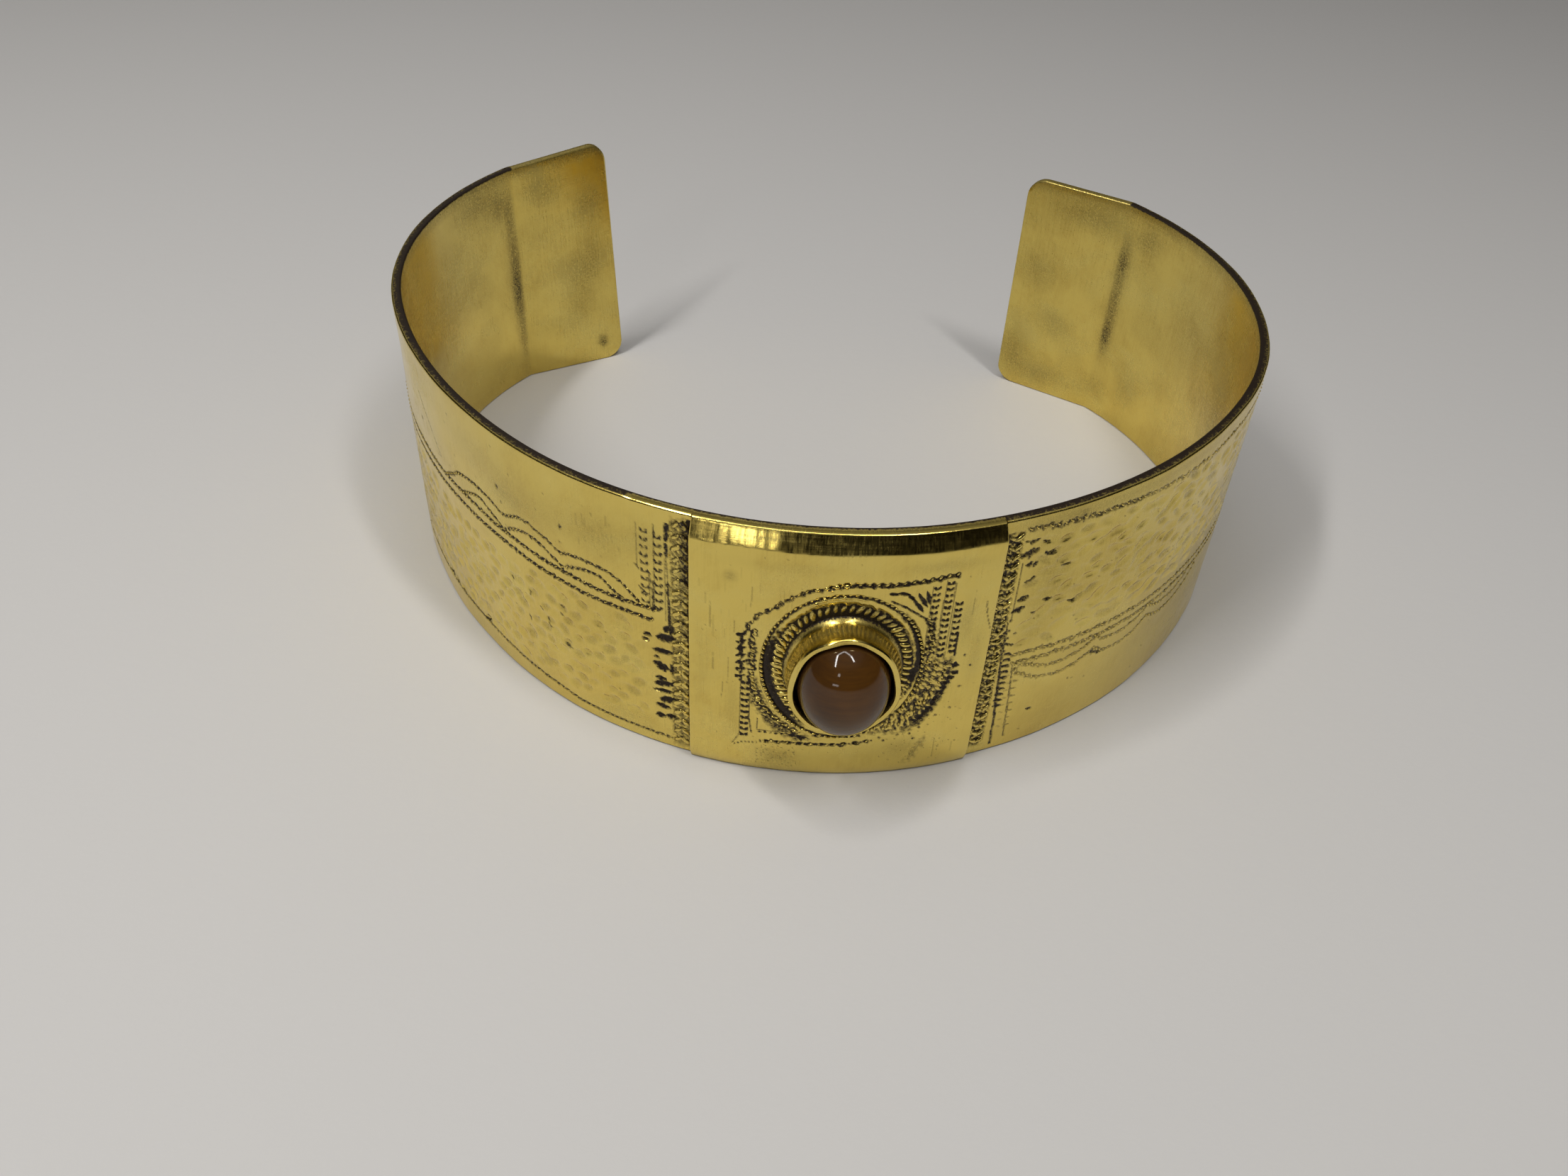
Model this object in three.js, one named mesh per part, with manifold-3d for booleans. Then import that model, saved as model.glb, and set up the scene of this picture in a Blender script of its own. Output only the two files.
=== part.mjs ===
// Hammered brass cuff bracelet, standing on its edge.
// A strip of sheet is bent round the wrist, open at the back. A raised plaque is soldered
// over the front, and a collar on it holds an oval cabochon.
// Millimetres and degrees. +Z is up, the plaque faces -Y and the opening faces +Y.
import * as THREE from 'three';
import { mergeVertices } from 'three/addons/utils/BufferGeometryUtils.js';
import Module from 'manifold-3d';

const wasm = await Module();
wasm.setup();

// The strip of sheet brass.
const band = { height: 20.5, thickness: 0.75, rimChamfer: 0.12, cornerRadius: 1.7 };

// Each arm is bent in stretches from the middle of the front to the crease. A stretch takes
// a share of the arm's length and turns by its own angle. Past the crease the strip is flat,
// and lean is how far the top corner of that flat end stands out beyond its foot.
const leftArm = {
  length: 69.2,
  bends: [
    { share: 0.33, turn: 42.7 },
    { share: 0.305, turn: 30.8 },
    { share: 0.365, turn: 54.1 },
  ],
  crease: { radius: 1.3, turn: 25 },
  terminal: 9.4,
  lean: 2.5,
};
const rightArm = {
  length: 66.8,
  bends: [
    { share: 0.112, turn: 14.9 },
    { share: 0.418, turn: 44.5 },
    { share: 0.47, turn: 68.6 },
  ],
  crease: { radius: 1.3, turn: 19 },
  terminal: 9.3,
  lean: 0,
};

// The plaque over the front: how far it stands proud of the strip on its face and at its
// foot, the bevel along its top edge and the softer roll along its foot.
const plaque = { width: 19, proud: 0.55, footProud: 0.12, topBevel: 1.4, footRoll: 2 };

// The oval stone, long axis upright, and the collar round it.
const stone = { width: 5.8, length: 7.2, girdle: 0.9, dome: 2.6, footBevel: 0.2 };
const bezel = { wall: 0.32, height: 1.85, seat: 0.12, lipChamfer: 0.08 };
const stonePlace = { aside: 0.2, belowMiddle: 0.15 };

// Room left round and under the stone.
const clearance = { stoneSide: 0.27, stoneUnder: 0.3 };

// How finely round forms are cut into flats.
const facets = { bendStep: 3, flat: 5, corner: 5, plaque: 12, oval: 44, dome: 9, foot: 4 };

const radians = THREE.MathUtils.degToRad;
const rightAngle = Math.PI / 2;

// Lists the stretches of one arm, each with where it starts, on the strip's outer face.
function traceArm(arm) {
  const parts = arm.bends.map(({ share, turn }) => ({ length: arm.length * share, turn: radians(turn) }));
  const creaseTurn = radians(arm.crease.turn);
  parts.push({ length: arm.crease.radius * creaseTurn, turn: creaseTurn });
  parts.push({ length: arm.terminal, turn: 0 });
  let start = { run: 0, x: 0, y: 0, heading: 0 };
  return parts.map((part) => {
    const stretch = { ...part, start };
    start = alongStretch(stretch, part.length);
    return stretch;
  });
}

// The point some way along a stretch, by the chord of its arc.
function alongStretch({ start, length, turn }, way) {
  const turned = (turn * way) / length;
  const chord = turned === 0 ? way : (2 * way * Math.sin(turned / 2)) / turned;
  const aim = start.heading + turned / 2;
  return {
    run: start.run + way,
    x: start.x + chord * Math.cos(aim),
    y: start.y + chord * Math.sin(aim),
    heading: start.heading + turned,
  };
}

// The point of an arm at a given run from the middle of the front.
function pointOnArm(stretches, run) {
  const stretch = stretches.findLast(({ start }) => start.run <= run);
  return alongStretch(stretch, run - stretch.start.run);
}

// Stations down one arm, from the middle of the front to its tip. Near the tip the strip
// gets lower by an inset at both edges, which rounds the two corners.
function armStations(arm) {
  const stretches = traceArm(arm);
  const terminal = stretches.at(-1);
  const stations = [{ ...stretches[0].start, inset: 0, lean: 0 }];
  for (const stretch of stretches.slice(0, -1)) {
    const steps = Math.ceil(stretch.turn / radians(facets.bendStep));
    for (let i = 1; i <= steps; i++) {
      stations.push({ ...alongStretch(stretch, (stretch.length * i) / steps), inset: 0, lean: 0 });
    }
  }
  const onFlat = (way, inset) => ({
    ...alongStretch(terminal, way),
    inset,
    lean: (arm.lean * way) / terminal.length,
  });
  const cornerStart = terminal.length - band.cornerRadius;
  for (let i = 1; i <= facets.flat; i++) {
    stations.push(onFlat((cornerStart * i) / facets.flat, 0));
  }
  for (let i = 1; i <= facets.corner; i++) {
    const angle = (rightAngle * i) / facets.corner;
    const way = cornerStart + band.cornerRadius * Math.sin(angle);
    stations.push(onFlat(way, band.cornerRadius * (1 - Math.cos(angle))));
  }
  return stations;
}

// The left arm is the mirror image of a path walked to the right.
const mirrored = (station) => ({ ...station, run: -station.run, x: -station.x, heading: -station.heading });

function bandStations() {
  const left = armStations(leftArm).slice(1).map(mirrored);
  return [...left.reverse(), ...armStations(rightArm)];
}

function plaqueStations() {
  const right = traceArm(rightArm);
  const left = traceArm(leftArm);
  return Array.from({ length: facets.plaque + 1 }, (_, i) => {
    const run = plaque.width * (i / facets.plaque - 0.5);
    const station = run < 0 ? mirrored(pointOnArm(left, -run)) : pointOnArm(right, run);
    return { ...station, lean: 0 };
  });
}

// Places one corner of a section: out is measured from the strip's outer face.
function placeCorner({ x, y, heading, lean }, [out, up]) {
  const away = out + (lean * up) / band.height;
  return new THREE.Vector3(x + away * Math.sin(heading), y - away * Math.cos(heading), up);
}

// Closes a row of rings, all with the same number of corners, into one solid's surface.
// Seen along the row, the corners of a ring run anticlockwise.
function skin(rings) {
  const corners = rings[0].length;
  const indices = [];
  for (let ring = 1; ring < rings.length; ring++) {
    for (let i = 0; i < corners; i++) {
      const next = (i + 1) % corners;
      const [a, b] = [(ring - 1) * corners + i, (ring - 1) * corners + next];
      const [c, d] = [a + corners, b + corners];
      indices.push(a, d, b, a, c, d);
    }
  }
  const last = (rings.length - 1) * corners;
  for (let i = 1; i < corners - 1; i++) {
    indices.push(0, i, i + 1, last, last + i + 1, last + i);
  }
  const geometry = new THREE.BufferGeometry().setFromPoints(rings.flat());
  geometry.setIndex(indices);
  return geometry;
}

// The strip's section is a rectangle with its four edges broken.
function bandSection({ inset }) {
  const { thickness, rimChamfer: cut } = band;
  const foot = inset;
  const top = band.height - inset;
  return [
    [-cut, foot],
    [0, foot + cut],
    [0, top - cut],
    [-cut, top],
    [cut - thickness, top],
    [-thickness, top - cut],
    [-thickness, foot + cut],
    [cut - thickness, foot],
  ];
}

// The plaque's section is let into the strip by half the strip's thickness.
function plaqueSection() {
  const { proud, footProud, topBevel, footRoll } = plaque;
  const letIn = -band.thickness / 2;
  const roll = Array.from({ length: facets.foot }, (_, i) => {
    const angle = (rightAngle * (i + 1)) / facets.foot;
    return [footProud + (proud - footProud) * Math.sin(angle), footRoll * (1 - Math.cos(angle))];
  });
  return [[letIn, 0], [footProud, 0], ...roll, [proud, band.height - topBevel], [0, band.height], [letIn, band.height]];
}

function makeBand() {
  return skin(bandStations().map((station) => bandSection(station).map((corner) => placeCorner(station, corner))));
}

function makePlaque() {
  return skin(plaqueStations().map((station) => plaqueSection().map((corner) => placeCorner(station, corner))));
}

// Stacks ovals of given half axes along the stone's axis, which points out of the plaque.
function ovalStack(levels) {
  const middle = band.height / 2 - stonePlace.belowMiddle;
  return skin(levels.map(({ across, upright, out }) => Array.from({ length: facets.oval }, (_, i) => {
    const angle = (4 * rightAngle * i) / facets.oval;
    const x = stonePlace.aside + across * Math.cos(angle);
    return new THREE.Vector3(x, -out, middle - upright * Math.sin(angle));
  })));
}

const seatLevel = plaque.proud + bezel.seat;

// An oval that follows the stone's girdle at a distance.
const roundStone = (distance, out) => ({
  across: stone.width / 2 + distance,
  upright: stone.length / 2 + distance,
  out,
});

// The collar is a cup with a flat seat, let into the plaque and the strip.
function makeBezel() {
  const inner = clearance.stoneSide;
  const outer = inner + bezel.wall;
  const lip = plaque.proud + bezel.height;
  return ovalStack([
    roundStone(outer, -band.thickness / 2),
    roundStone(outer, lip - bezel.lipChamfer),
    roundStone(outer - bezel.lipChamfer, lip),
    roundStone(inner + bezel.lipChamfer, lip),
    roundStone(inner, lip - bezel.lipChamfer),
    roundStone(inner, seatLevel),
  ]);
}

// The cabochon has a short upright girdle under a half-oval dome.
function makeStone() {
  const base = seatLevel + clearance.stoneUnder;
  const shoulder = base + stone.girdle;
  const dome = Array.from({ length: facets.dome }, (_, i) => {
    const angle = (rightAngle * i) / facets.dome;
    const share = Math.cos(angle);
    return {
      across: (stone.width / 2) * share,
      upright: (stone.length / 2) * share,
      out: shoulder + stone.dome * Math.sin(angle),
    };
  });
  return ovalStack([roundStone(-stone.footBevel, base), roundStone(0, base + stone.footBevel), ...dome]);
}

function solidOf(geometry) {
  const bare = geometry.clone();
  bare.deleteAttribute('normal');
  bare.deleteAttribute('uv');
  const merged = mergeVertices(bare);
  return new wasm.Manifold(new wasm.Mesh({
    numProp: 3,
    vertProperties: new Float32Array(merged.attributes.position.array),
    triVerts: new Uint32Array(merged.index.array),
  }));
}

function geometryOf(solid) {
  const mesh = solid.getMesh();
  const geometry = new THREE.BufferGeometry();
  geometry.setAttribute('position', new THREE.BufferAttribute(mesh.vertProperties, 3));
  geometry.setIndex(new THREE.BufferAttribute(mesh.triVerts, 1));
  geometry.computeVertexNormals();
  return geometry;
}

// Strip, plaque and collar are soldered together, so they are one solid.
function makeCuff() {
  const parts = [makeBand(), makePlaque(), makeBezel()].map(solidOf);
  return geometryOf(parts.reduce((whole, part) => whole.add(part)));
}

const brass = new THREE.MeshStandardMaterial({ color: 0xb59f45, roughness: 0.28, metalness: 1 });
const brownStone = new THREE.MeshStandardMaterial({ color: 0x5a3a1c, roughness: 0.12, metalness: 0 });

function namedMesh(name, geometry, material) {
  const mesh = new THREE.Mesh(geometry, material);
  mesh.name = name;
  return mesh;
}

const bracelet = new THREE.Group();
bracelet.add(namedMesh('cuff', makeCuff(), brass));
bracelet.add(namedMesh('stone', geometryOf(solidOf(makeStone())), brownStone));

// The origin is on the surface that the cuff stands on, under the middle of its outline.
const outline = new THREE.Box3().setFromObject(bracelet);
const middle = outline.getCenter(new THREE.Vector3());
bracelet.position.set(-middle.x, -middle.y, -outline.min.z);

export default bracelet;
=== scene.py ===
"""Looks of a chased brass cuff bracelet that stands on its edge, with an oval stone in front.

The strip and the plaque are charted as a sheet laid flat. A run is a distance in mm along
the sheet from the middle of the front, negative to the left, and a height is in mm above
the surface that the cuff stands on. Chased work sinks into the sheet or stands out of it.
"""
import math

import bpy
import numpy as np
from bpy.props import FloatProperty, FloatVectorProperty, PointerProperty
from mathutils import Matrix, Vector


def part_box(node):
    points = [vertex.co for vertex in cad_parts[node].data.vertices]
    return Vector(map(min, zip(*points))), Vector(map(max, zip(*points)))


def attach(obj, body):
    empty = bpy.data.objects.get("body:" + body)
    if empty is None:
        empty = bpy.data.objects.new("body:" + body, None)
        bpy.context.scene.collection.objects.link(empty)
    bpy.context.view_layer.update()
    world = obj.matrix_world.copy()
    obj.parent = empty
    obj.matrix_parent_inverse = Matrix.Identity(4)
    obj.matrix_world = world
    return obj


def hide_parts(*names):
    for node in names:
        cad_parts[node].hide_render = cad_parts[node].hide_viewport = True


bl_info = {
    "name": "Chased brass cuff",
    "version": (1, 0, 0),
    "blender": (4, 5, 0),
    "location": "3D View > Sidebar > Cuff",
    "description": "Builds the looks of a chased brass cuff bracelet around its solids",
    "category": "Object",
}

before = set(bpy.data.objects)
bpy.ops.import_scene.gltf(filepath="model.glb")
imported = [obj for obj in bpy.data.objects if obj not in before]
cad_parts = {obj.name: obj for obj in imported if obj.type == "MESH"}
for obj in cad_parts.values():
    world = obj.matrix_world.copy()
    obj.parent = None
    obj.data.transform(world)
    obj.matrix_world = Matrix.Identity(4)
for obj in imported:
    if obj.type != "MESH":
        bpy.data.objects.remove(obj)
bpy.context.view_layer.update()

MM = 0.001

# The strip's run down each arm, as in the solids: bends, then a crease, then a flat end.
LEFT_ARM = {
    "length": 69.2,
    "bends": ((0.33, 42.7), (0.305, 30.8), (0.365, 54.1)),
    "crease_turn": 25,
    "terminal": 9.4,
    "lean": 2.5,
}
RIGHT_ARM = {
    "length": 66.8,
    "bends": ((0.112, 14.9), (0.418, 44.5), (0.47, 68.6)),
    "crease_turn": 19,
    "terminal": 9.3,
    "lean": 0.0,
}
CREASE_RADIUS = 1.3
CORNER_RADIUS = 1.7
STRIP_HEIGHT = 20.5
PLAQUE_HALF = 9.5
BEVEL_FOOT = 19.22
FOOT_ROLL = 2.0
BEVEL_SLOPE, BEVEL_SOFT = 0.41, 0.07
PLAQUE_END_RADIUS = 0.12
STONE_ASIDE = 0.2
STONE_MIDDLE = 10.1
STONE_HALF = (2.9, 3.6)
STONE_OUT = 4.47


class Arm:
    """One arm of the strip's outer face, walked from the middle of the front to its tip."""

    def __init__(self, arm, side):
        stretches = [(arm["length"] * share, math.radians(turn)) for share, turn in arm["bends"]]
        turn = math.radians(arm["crease_turn"])
        stretches += [(CREASE_RADIUS * turn, turn), (arm["terminal"], 0.0)]
        self.side = side
        self.lean = arm["lean"]
        self.terminal = arm["terminal"]
        self.lengths, self.turns = np.array(stretches).T
        self.starts = np.concatenate([[0.0], np.cumsum(self.lengths)[:-1]])
        self.tip = float(self.lengths.sum())
        corners = [(0.0, 0.0, 0.0)]
        for length, turn in stretches:
            x, y, heading = corners[-1]
            chord = length * np.sinc(turn / 2 / math.pi)
            aim = heading + turn / 2
            corners.append((x + chord * math.cos(aim), y + chord * math.sin(aim), heading + turn))
        self.corners = np.array(corners[:-1])

    def at(self, way):
        """Place, heading and lean of the outer face at a way from the middle."""
        way = np.asarray(way, float)
        i = np.searchsorted(self.starts, way, side="right") - 1
        part = way - self.starts[i]
        turned = self.turns[i] * part / self.lengths[i]
        chord = part * np.sinc(turned / 2 / math.pi)
        aim = self.corners[i, 2] + turned / 2
        x = self.corners[i, 0] + chord * np.cos(aim)
        y = self.corners[i, 1] + chord * np.sin(aim)
        heading = self.corners[i, 2] + turned
        lean = self.lean * np.clip((way - self.starts[-1]) / self.terminal, 0, 1)
        return self.side * x, y, self.side * heading, lean


ARMS = {-1: Arm(LEFT_ARM, -1), 1: Arm(RIGHT_ARM, 1)}

# How many waves an uneven field is the sum of, and how far apart the points of an oval are.
WAVE_COUNT = 7
OVAL_STEP = 0.3
# How far from the middle of the front the hammered fields end, and how far before it they fade.
HAMMERED_END, HAMMERED_FADE = 50.5, 10.0
# How finely the pieces are cut: rows up an arm, points round the collar and the stone, points
# down a braid.
ARM_ROWS = 188
COLLAR_SIDES = 208
STONE_SIDES = 112
BRAID_POINTS = 60


def sheet_origin():
    """Where the sheet's run, out and height are all nought, from where the stone is."""
    low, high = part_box("stone")
    return np.array(((low.x + high.x) / 2 - STONE_ASIDE * MM, low.y + STONE_OUT * MM, 0.0))


def on_sheet(runs, heights, outs):
    """Points in metres at runs, heights and distances out of the strip's outer face."""
    runs, heights, outs = np.broadcast_arrays(*(np.asarray(v, float) for v in (runs, heights, outs)))
    left, right = (ARMS[side].at(np.maximum(side * runs, 0)) for side in (-1, 1))
    x, y, heading, lean = (np.where(runs < 0, a, b) for a, b in zip(left, right))
    away = outs + lean * heights / STRIP_HEIGHT
    points = np.stack([x + away * np.sin(heading), y - away * np.cos(heading), heights], -1) * MM
    return points + sheet_origin()


def outward(runs):
    """The direction in which the outer face looks, at runs."""
    runs = np.asarray(runs, float)
    left, right = (ARMS[side].at(np.maximum(side * runs, 0))[2] for side in (-1, 1))
    heading = np.where(runs < 0, left, right)
    return np.stack([np.sin(heading), -np.cos(heading), np.zeros_like(heading)], -1)


def smooth_line(points, step=0.25):
    """A charted line with its points joined by a curve through them, as closely spaced points."""
    points = np.array(points, float)
    padded = np.vstack([2 * points[0] - points[1], points, 2 * points[-1] - points[-2]])
    dense = []
    for a, b, c, d in zip(padded, padded[1:], padded[2:], padded[3:]):
        count = max(1, int(round(np.hypot(*(c - b)) / step)))
        t = np.arange(count)[:, None] / count
        dense.append(0.5 * (2 * b + (c - a) * t + (2 * a - 5 * b + 4 * c - d) * t**2
                            + (3 * b - a - 3 * c + d) * t**3))
    return np.vstack(dense + [points[-1:]])


def oval(middle, across, upright, start=0.0, end=360.0):
    """Points round an oval, from one bearing to another: 0 is to the right and 90 at the top."""
    arc = math.radians(abs(end - start)) * (across + upright) / 2
    count = max(8, int(arc / OVAL_STEP))
    angles = np.radians(np.linspace(start, end, count + 1))
    return np.stack([middle[0] + across * np.cos(angles), middle[1] + upright * np.sin(angles)], 1)


def waves(s, z, size, seed):
    """A smooth uneven field between about -1 and 1, with hills about size mm apart."""
    draw = np.random.default_rng(seed)
    total = 0.0
    for _ in range(WAVE_COUNT):
        bearing = draw.uniform(0, math.tau)
        pace = draw.uniform(0.6, 1.6)
        start = draw.uniform(0, math.tau)
        reach = math.tau * pace / size
        total = total + np.sin(reach * (s * math.cos(bearing) + z * math.sin(bearing)) + start)
    return total / math.sqrt(WAVE_COUNT)


class Relief:
    """How far a sheet's face stands out, in mm, and how dark it is, over a grid: tarnish, with painted shade
    in a few places.
    """

    # In half widths of a line: where its raised burr is, how wide that is, where its darkening
    # ends and how softly. Then how high the burr is in depths of the line.
    BURR_AT, BURR_WIDTH, STAIN_END, STAIN_SOFT = 1.3, 0.28, 1.25, 0.4
    BURR = 0.2

    def __init__(self, runs, heights, seed):
        self.runs, self.heights = runs, heights
        self.draw = np.random.default_rng(seed)
        s, z = runs[:, None], heights[None, :]
        self.rise = 0.016 * waves(s, z, 9.0, seed) + 0.004 * waves(s, z, 2.6, seed + 1)
        self.tarnish = np.zeros_like(self.rise)
        self.ragged = waves(s, z, 0.55, seed + 2)

    def patch(self, low, high):
        """The part of the grid between two corners, and the runs and heights there."""
        a, b = np.searchsorted(self.runs, (low[0], high[0]))
        c, d = np.searchsorted(self.heights, (low[1], high[1]))
        return (slice(a, b), slice(c, d)), self.runs[a:b, None], self.heights[None, c:d]

    def line(self, points, width, depth, dark, taper=False, rag=0.12):
        """A line punched or cut along points. A tapered one is a lens that is widest midway."""
        points = np.array(points, float)
        reach = 1.9 * width
        where, s, z = self.patch(points.min(0) - reach, points.max(0) + reach)
        near = np.full(np.broadcast(s, z).shape, np.inf)
        way = np.zeros_like(near)
        walked = 0.0
        for (s0, z0), (s1, z1) in zip(points[:-1], points[1:]):
            length = math.hypot(s1 - s0, z1 - z0)
            share = np.clip(((s - s0) * (s1 - s0) + (z - z0) * (z1 - z0)) / length**2, 0, 1)
            gap = np.hypot(s - s0 - share * (s1 - s0), z - z0 - share * (z1 - z0))
            closer = gap < near
            way = np.where(closer, walked + share * length, way)
            near = np.where(closer, gap, near)
            walked += length
        half = width / 2
        if taper:
            half = half * np.clip(1 - (2 * way / walked - 1) ** 2, 0.02, 1) ** 0.8
        u = near / half + rag * self.ragged[where] * 2
        dip = np.clip(1 - u * u, 0, 1)
        lip = self.BURR * np.exp(-(((u - self.BURR_AT) / self.BURR_WIDTH) ** 2))
        self.rise[where] += depth * (lip - dip)
        stain = dark * np.clip((self.STAIN_END - u) / self.STAIN_SOFT, 0, 1)
        self.tarnish[where] = np.maximum(self.tarnish[where], stain)

    def dent(self, s0, z0, across, upright, depth, turn=0.0, dark=0.0):
        """A shallow oval dent with a soft rim."""
        reach = max(across, upright) * 1.4
        where, s, z = self.patch((s0 - reach, z0 - reach), (s0 + reach, z0 + reach))
        c, d = math.cos(turn), math.sin(turn)
        along, over = (s - s0) * c + (z - z0) * d, (z - z0) * c - (s - s0) * d
        u = np.hypot(along / (across / 2), over / (upright / 2))
        dip = np.clip(1 - u * u, 0, 1) ** 1.5
        lip = 0.18 * np.exp(-(((u - 1.15) / 0.22) ** 2))
        self.rise[where] += depth * (lip - dip)
        stain = dark * np.clip((1.0 - u) / 0.5, 0, 1)
        self.tarnish[where] = np.maximum(self.tarnish[where], stain)

    def stain(self, s0, z0, along, upward, strength):
        """A soft stain that fades out from its middle."""
        where, s, z = self.patch((s0 - 3 * along, z0 - 3 * upward), (s0 + 3 * along, z0 + 3 * upward))
        spread = np.exp(-(((s - s0) / along) ** 2) - ((z - z0) / upward) ** 2)
        self.tarnish[where] = 1 - (1 - self.tarnish[where]) * (1 - strength * spread)

    def grain(self, s0, z0, length, width, height, turn):
        """A worn grain that stands up in a dark ground, bright on top."""
        reach = max(length, width) * 0.7
        where, s, z = self.patch((s0 - reach, z0 - reach), (s0 + reach, z0 + reach))
        c, d = math.cos(turn), math.sin(turn)
        along, over = (s - s0) * c + (z - z0) * d, (z - z0) * c - (s - s0) * d
        u = np.hypot(along / (length / 2), over / (width / 2)) + 0.15 * self.ragged[where]
        self.rise[where] += height * np.clip(1 - u * u, 0, 1)
        self.tarnish[where] *= 1 - np.clip((1.05 - u) / 0.4, 0, 1)

    def grains(self, points, pitch, length, width, height, slant, wander=0.05):
        """A row of grains along points, each turned by a slant from the row's direction."""
        points = np.array(points, float)
        steps = np.hypot(*np.diff(points, axis=0).T)
        way = np.concatenate([[0], np.cumsum(steps)])
        for walked in np.arange(pitch / 2, way[-1], pitch):
            s0, z0 = (np.interp(walked, way, points[:, k]) for k in (0, 1))
            ahead = [np.interp(walked + 0.1, way, points[:, k]) for k in (0, 1)]
            behind = [np.interp(walked - 0.1, way, points[:, k]) for k in (0, 1)]
            turn = math.atan2(ahead[1] - behind[1], ahead[0] - behind[0]) + slant
            turn += self.draw.normal(0, 0.3)
            scale = self.draw.uniform(0.7, 1.2, 2)
            s0, z0 = (s0, z0) + self.draw.normal(0, wander, 2)
            self.grain(s0, z0, length * scale[0], width * scale[1], height, turn)

    def ground(self, mask_of, depth, dark, low, high):
        """Lowers and darkens a charted area. The darkening is tarnish, and painted shade in the recess round
        the collar's foot. mask_of gives 0 to 1 from runs and heights.
        """
        where, s, z = self.patch(low, high)
        mask = np.clip(mask_of(s, z), 0, 1)
        mask = np.clip(mask + 1.6 * self.ragged[where] * mask * (1 - mask), 0, 1)
        self.rise[where] -= depth * mask
        self.tarnish[where] = np.maximum(self.tarnish[where], dark * mask)

    def chevrons(self, s0, heights, half, drop, width, depth, dark):
        """A column of small V marks, their points down."""
        for z0 in heights:
            jitter = self.draw.uniform(-0.03, 0.03, 2)
            for side in (-1, 1):
                foot = (s0 + jitter[0], z0 + jitter[1])
                tip = (s0 + side * half, z0 + drop)
                middle = ((foot[0] + tip[0]) / 2, (foot[1] + tip[1]) / 2 - 0.06)
                self.line([tip, middle, foot], width, depth, dark, taper=True)

    def specks(self, count, low, high, size, depth, dark):
        """Small pits strewn over an area."""
        for _ in range(count):
            s0, z0 = self.draw.uniform(low, high)
            across, upright = size * self.draw.uniform(0.5, 1.5, 2)
            self.dent(s0, z0, across, upright, depth, self.draw.uniform(0, math.pi), dark)

    def hammered(self, low, high, pitch, size, depth, dark, keep):
        """Rows of shallow dents, one row set against the next. keep says where they lie.

        The last of them, at the sides of the cuff, get fainter.
        """
        for row, z0 in enumerate(np.arange(low[1], high[1], pitch[1])):
            for s0 in np.arange(low[0] + (row % 2) * pitch[0] / 2, high[0], pitch[0]):
                s1, z1 = (s0, z0) + self.draw.normal(0, 0.2, 2) * pitch
                scale = self.draw.uniform(0.75, 1.15)
                turn = self.draw.normal(0, 0.35)
                strength = self.draw.uniform(0.5, 1.2)
                fade = float(np.clip((HAMMERED_END - abs(s1)) / HAMMERED_FADE, 0.15, 1))
                if keep(s1, z1):
                    self.dent(s1, z1, size[0] * scale, size[1] * scale, depth * strength * fade, turn,
                              dark * fade * self.draw.uniform(0.1, 1.2) ** 1.5)


def between(value, low, high, soft):
    """1 inside a range, falling to 0 over a soft edge."""
    return np.clip(np.minimum(value - low, high - value) / soft + 0.5, 0, 1)


# Fine rope lines, as runs and heights. Each is a row of small slanted beads in a groove.
LEFT_ROPES = [
    [(-11.9, 12.25), (-15, 12.25), (-20, 12.45), (-25, 12.7), (-30, 12.85), (-34, 12.7), (-38, 12.7),
     (-44, 12.9), (-50, 13.0)],
    [(-12.2, 11.3), (-15, 11.4), (-20, 11.5), (-25, 11.8), (-30, 11.85), (-34, 11.8), (-38, 11.8),
     (-44, 11.9), (-50, 12.0)],
    [(-13.0, 12.4), (-13.5, 12.9), (-14.3, 13.6), (-15, 14.0), (-16, 14.2), (-17, 14.25), (-18.5, 14.1),
     (-19, 13.85)],
    [(-19, 13.85), (-20, 14.3), (-21, 14.6), (-22, 14.85), (-23, 14.7), (-24, 14.3), (-24.7, 14.1)],
    [(-24.7, 14.1), (-26, 14.5), (-28, 14.65), (-30, 14.3), (-31, 13.7), (-32.2, 13.0)],
    [(-14.3, 12.4), (-15, 12.8), (-15.5, 13.2), (-16.2, 13.5), (-17, 13.45), (-18, 13.2), (-19, 12.75)],
    [(-19, 12.75), (-20, 13.3), (-21, 13.7), (-22, 13.85), (-23, 13.7), (-24, 13.2), (-24.6, 12.85)],
    [(-24.6, 12.85), (-26.5, 13.6), (-27.5, 13.8), (-29, 13.3), (-30, 12.75)],
    [(-11.0, 0.95), (-14, 0.95), (-18, 1.0), (-20, 1.2), (-25, 1.6), (-28, 1.8), (-35, 1.9), (-42, 1.9)],
]
RIGHT_ROPES = [
    [(12.0, 8.95), (14, 8.85), (16, 8.7), (20, 8.6), (25, 8.5), (32, 8.5), (40, 8.5)],
    [(12.0, 8.1), (15, 8.0), (20, 7.8), (25, 7.7), (32, 7.7), (40, 7.7)],
    [(12.3, 7.9), (13, 7.7), (14, 7.3), (15, 6.95), (16, 6.8), (17, 6.9), (18, 7.1), (19.2, 7.6)],
    [(19.2, 7.6), (20, 7.1), (22, 6.85), (23.5, 7.1), (24.7, 7.6)],
    [(24.7, 7.6), (26, 7.0), (28, 6.8), (29.5, 7.1), (30.5, 7.6)],
    [(12.2, 7.8), (12.5, 7.1), (13, 6.8), (14, 6.2), (15, 5.95), (16, 5.75), (17, 5.8), (18.2, 6.15),
     (19.2, 6.6)],
    [(19.2, 6.6), (20.2, 5.9), (22, 5.65), (23.5, 5.9), (24.9, 6.5)],
    [(24.9, 6.5), (26.5, 5.9), (28, 5.8), (30, 6.2), (31.8, 7.2)],
]
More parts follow.
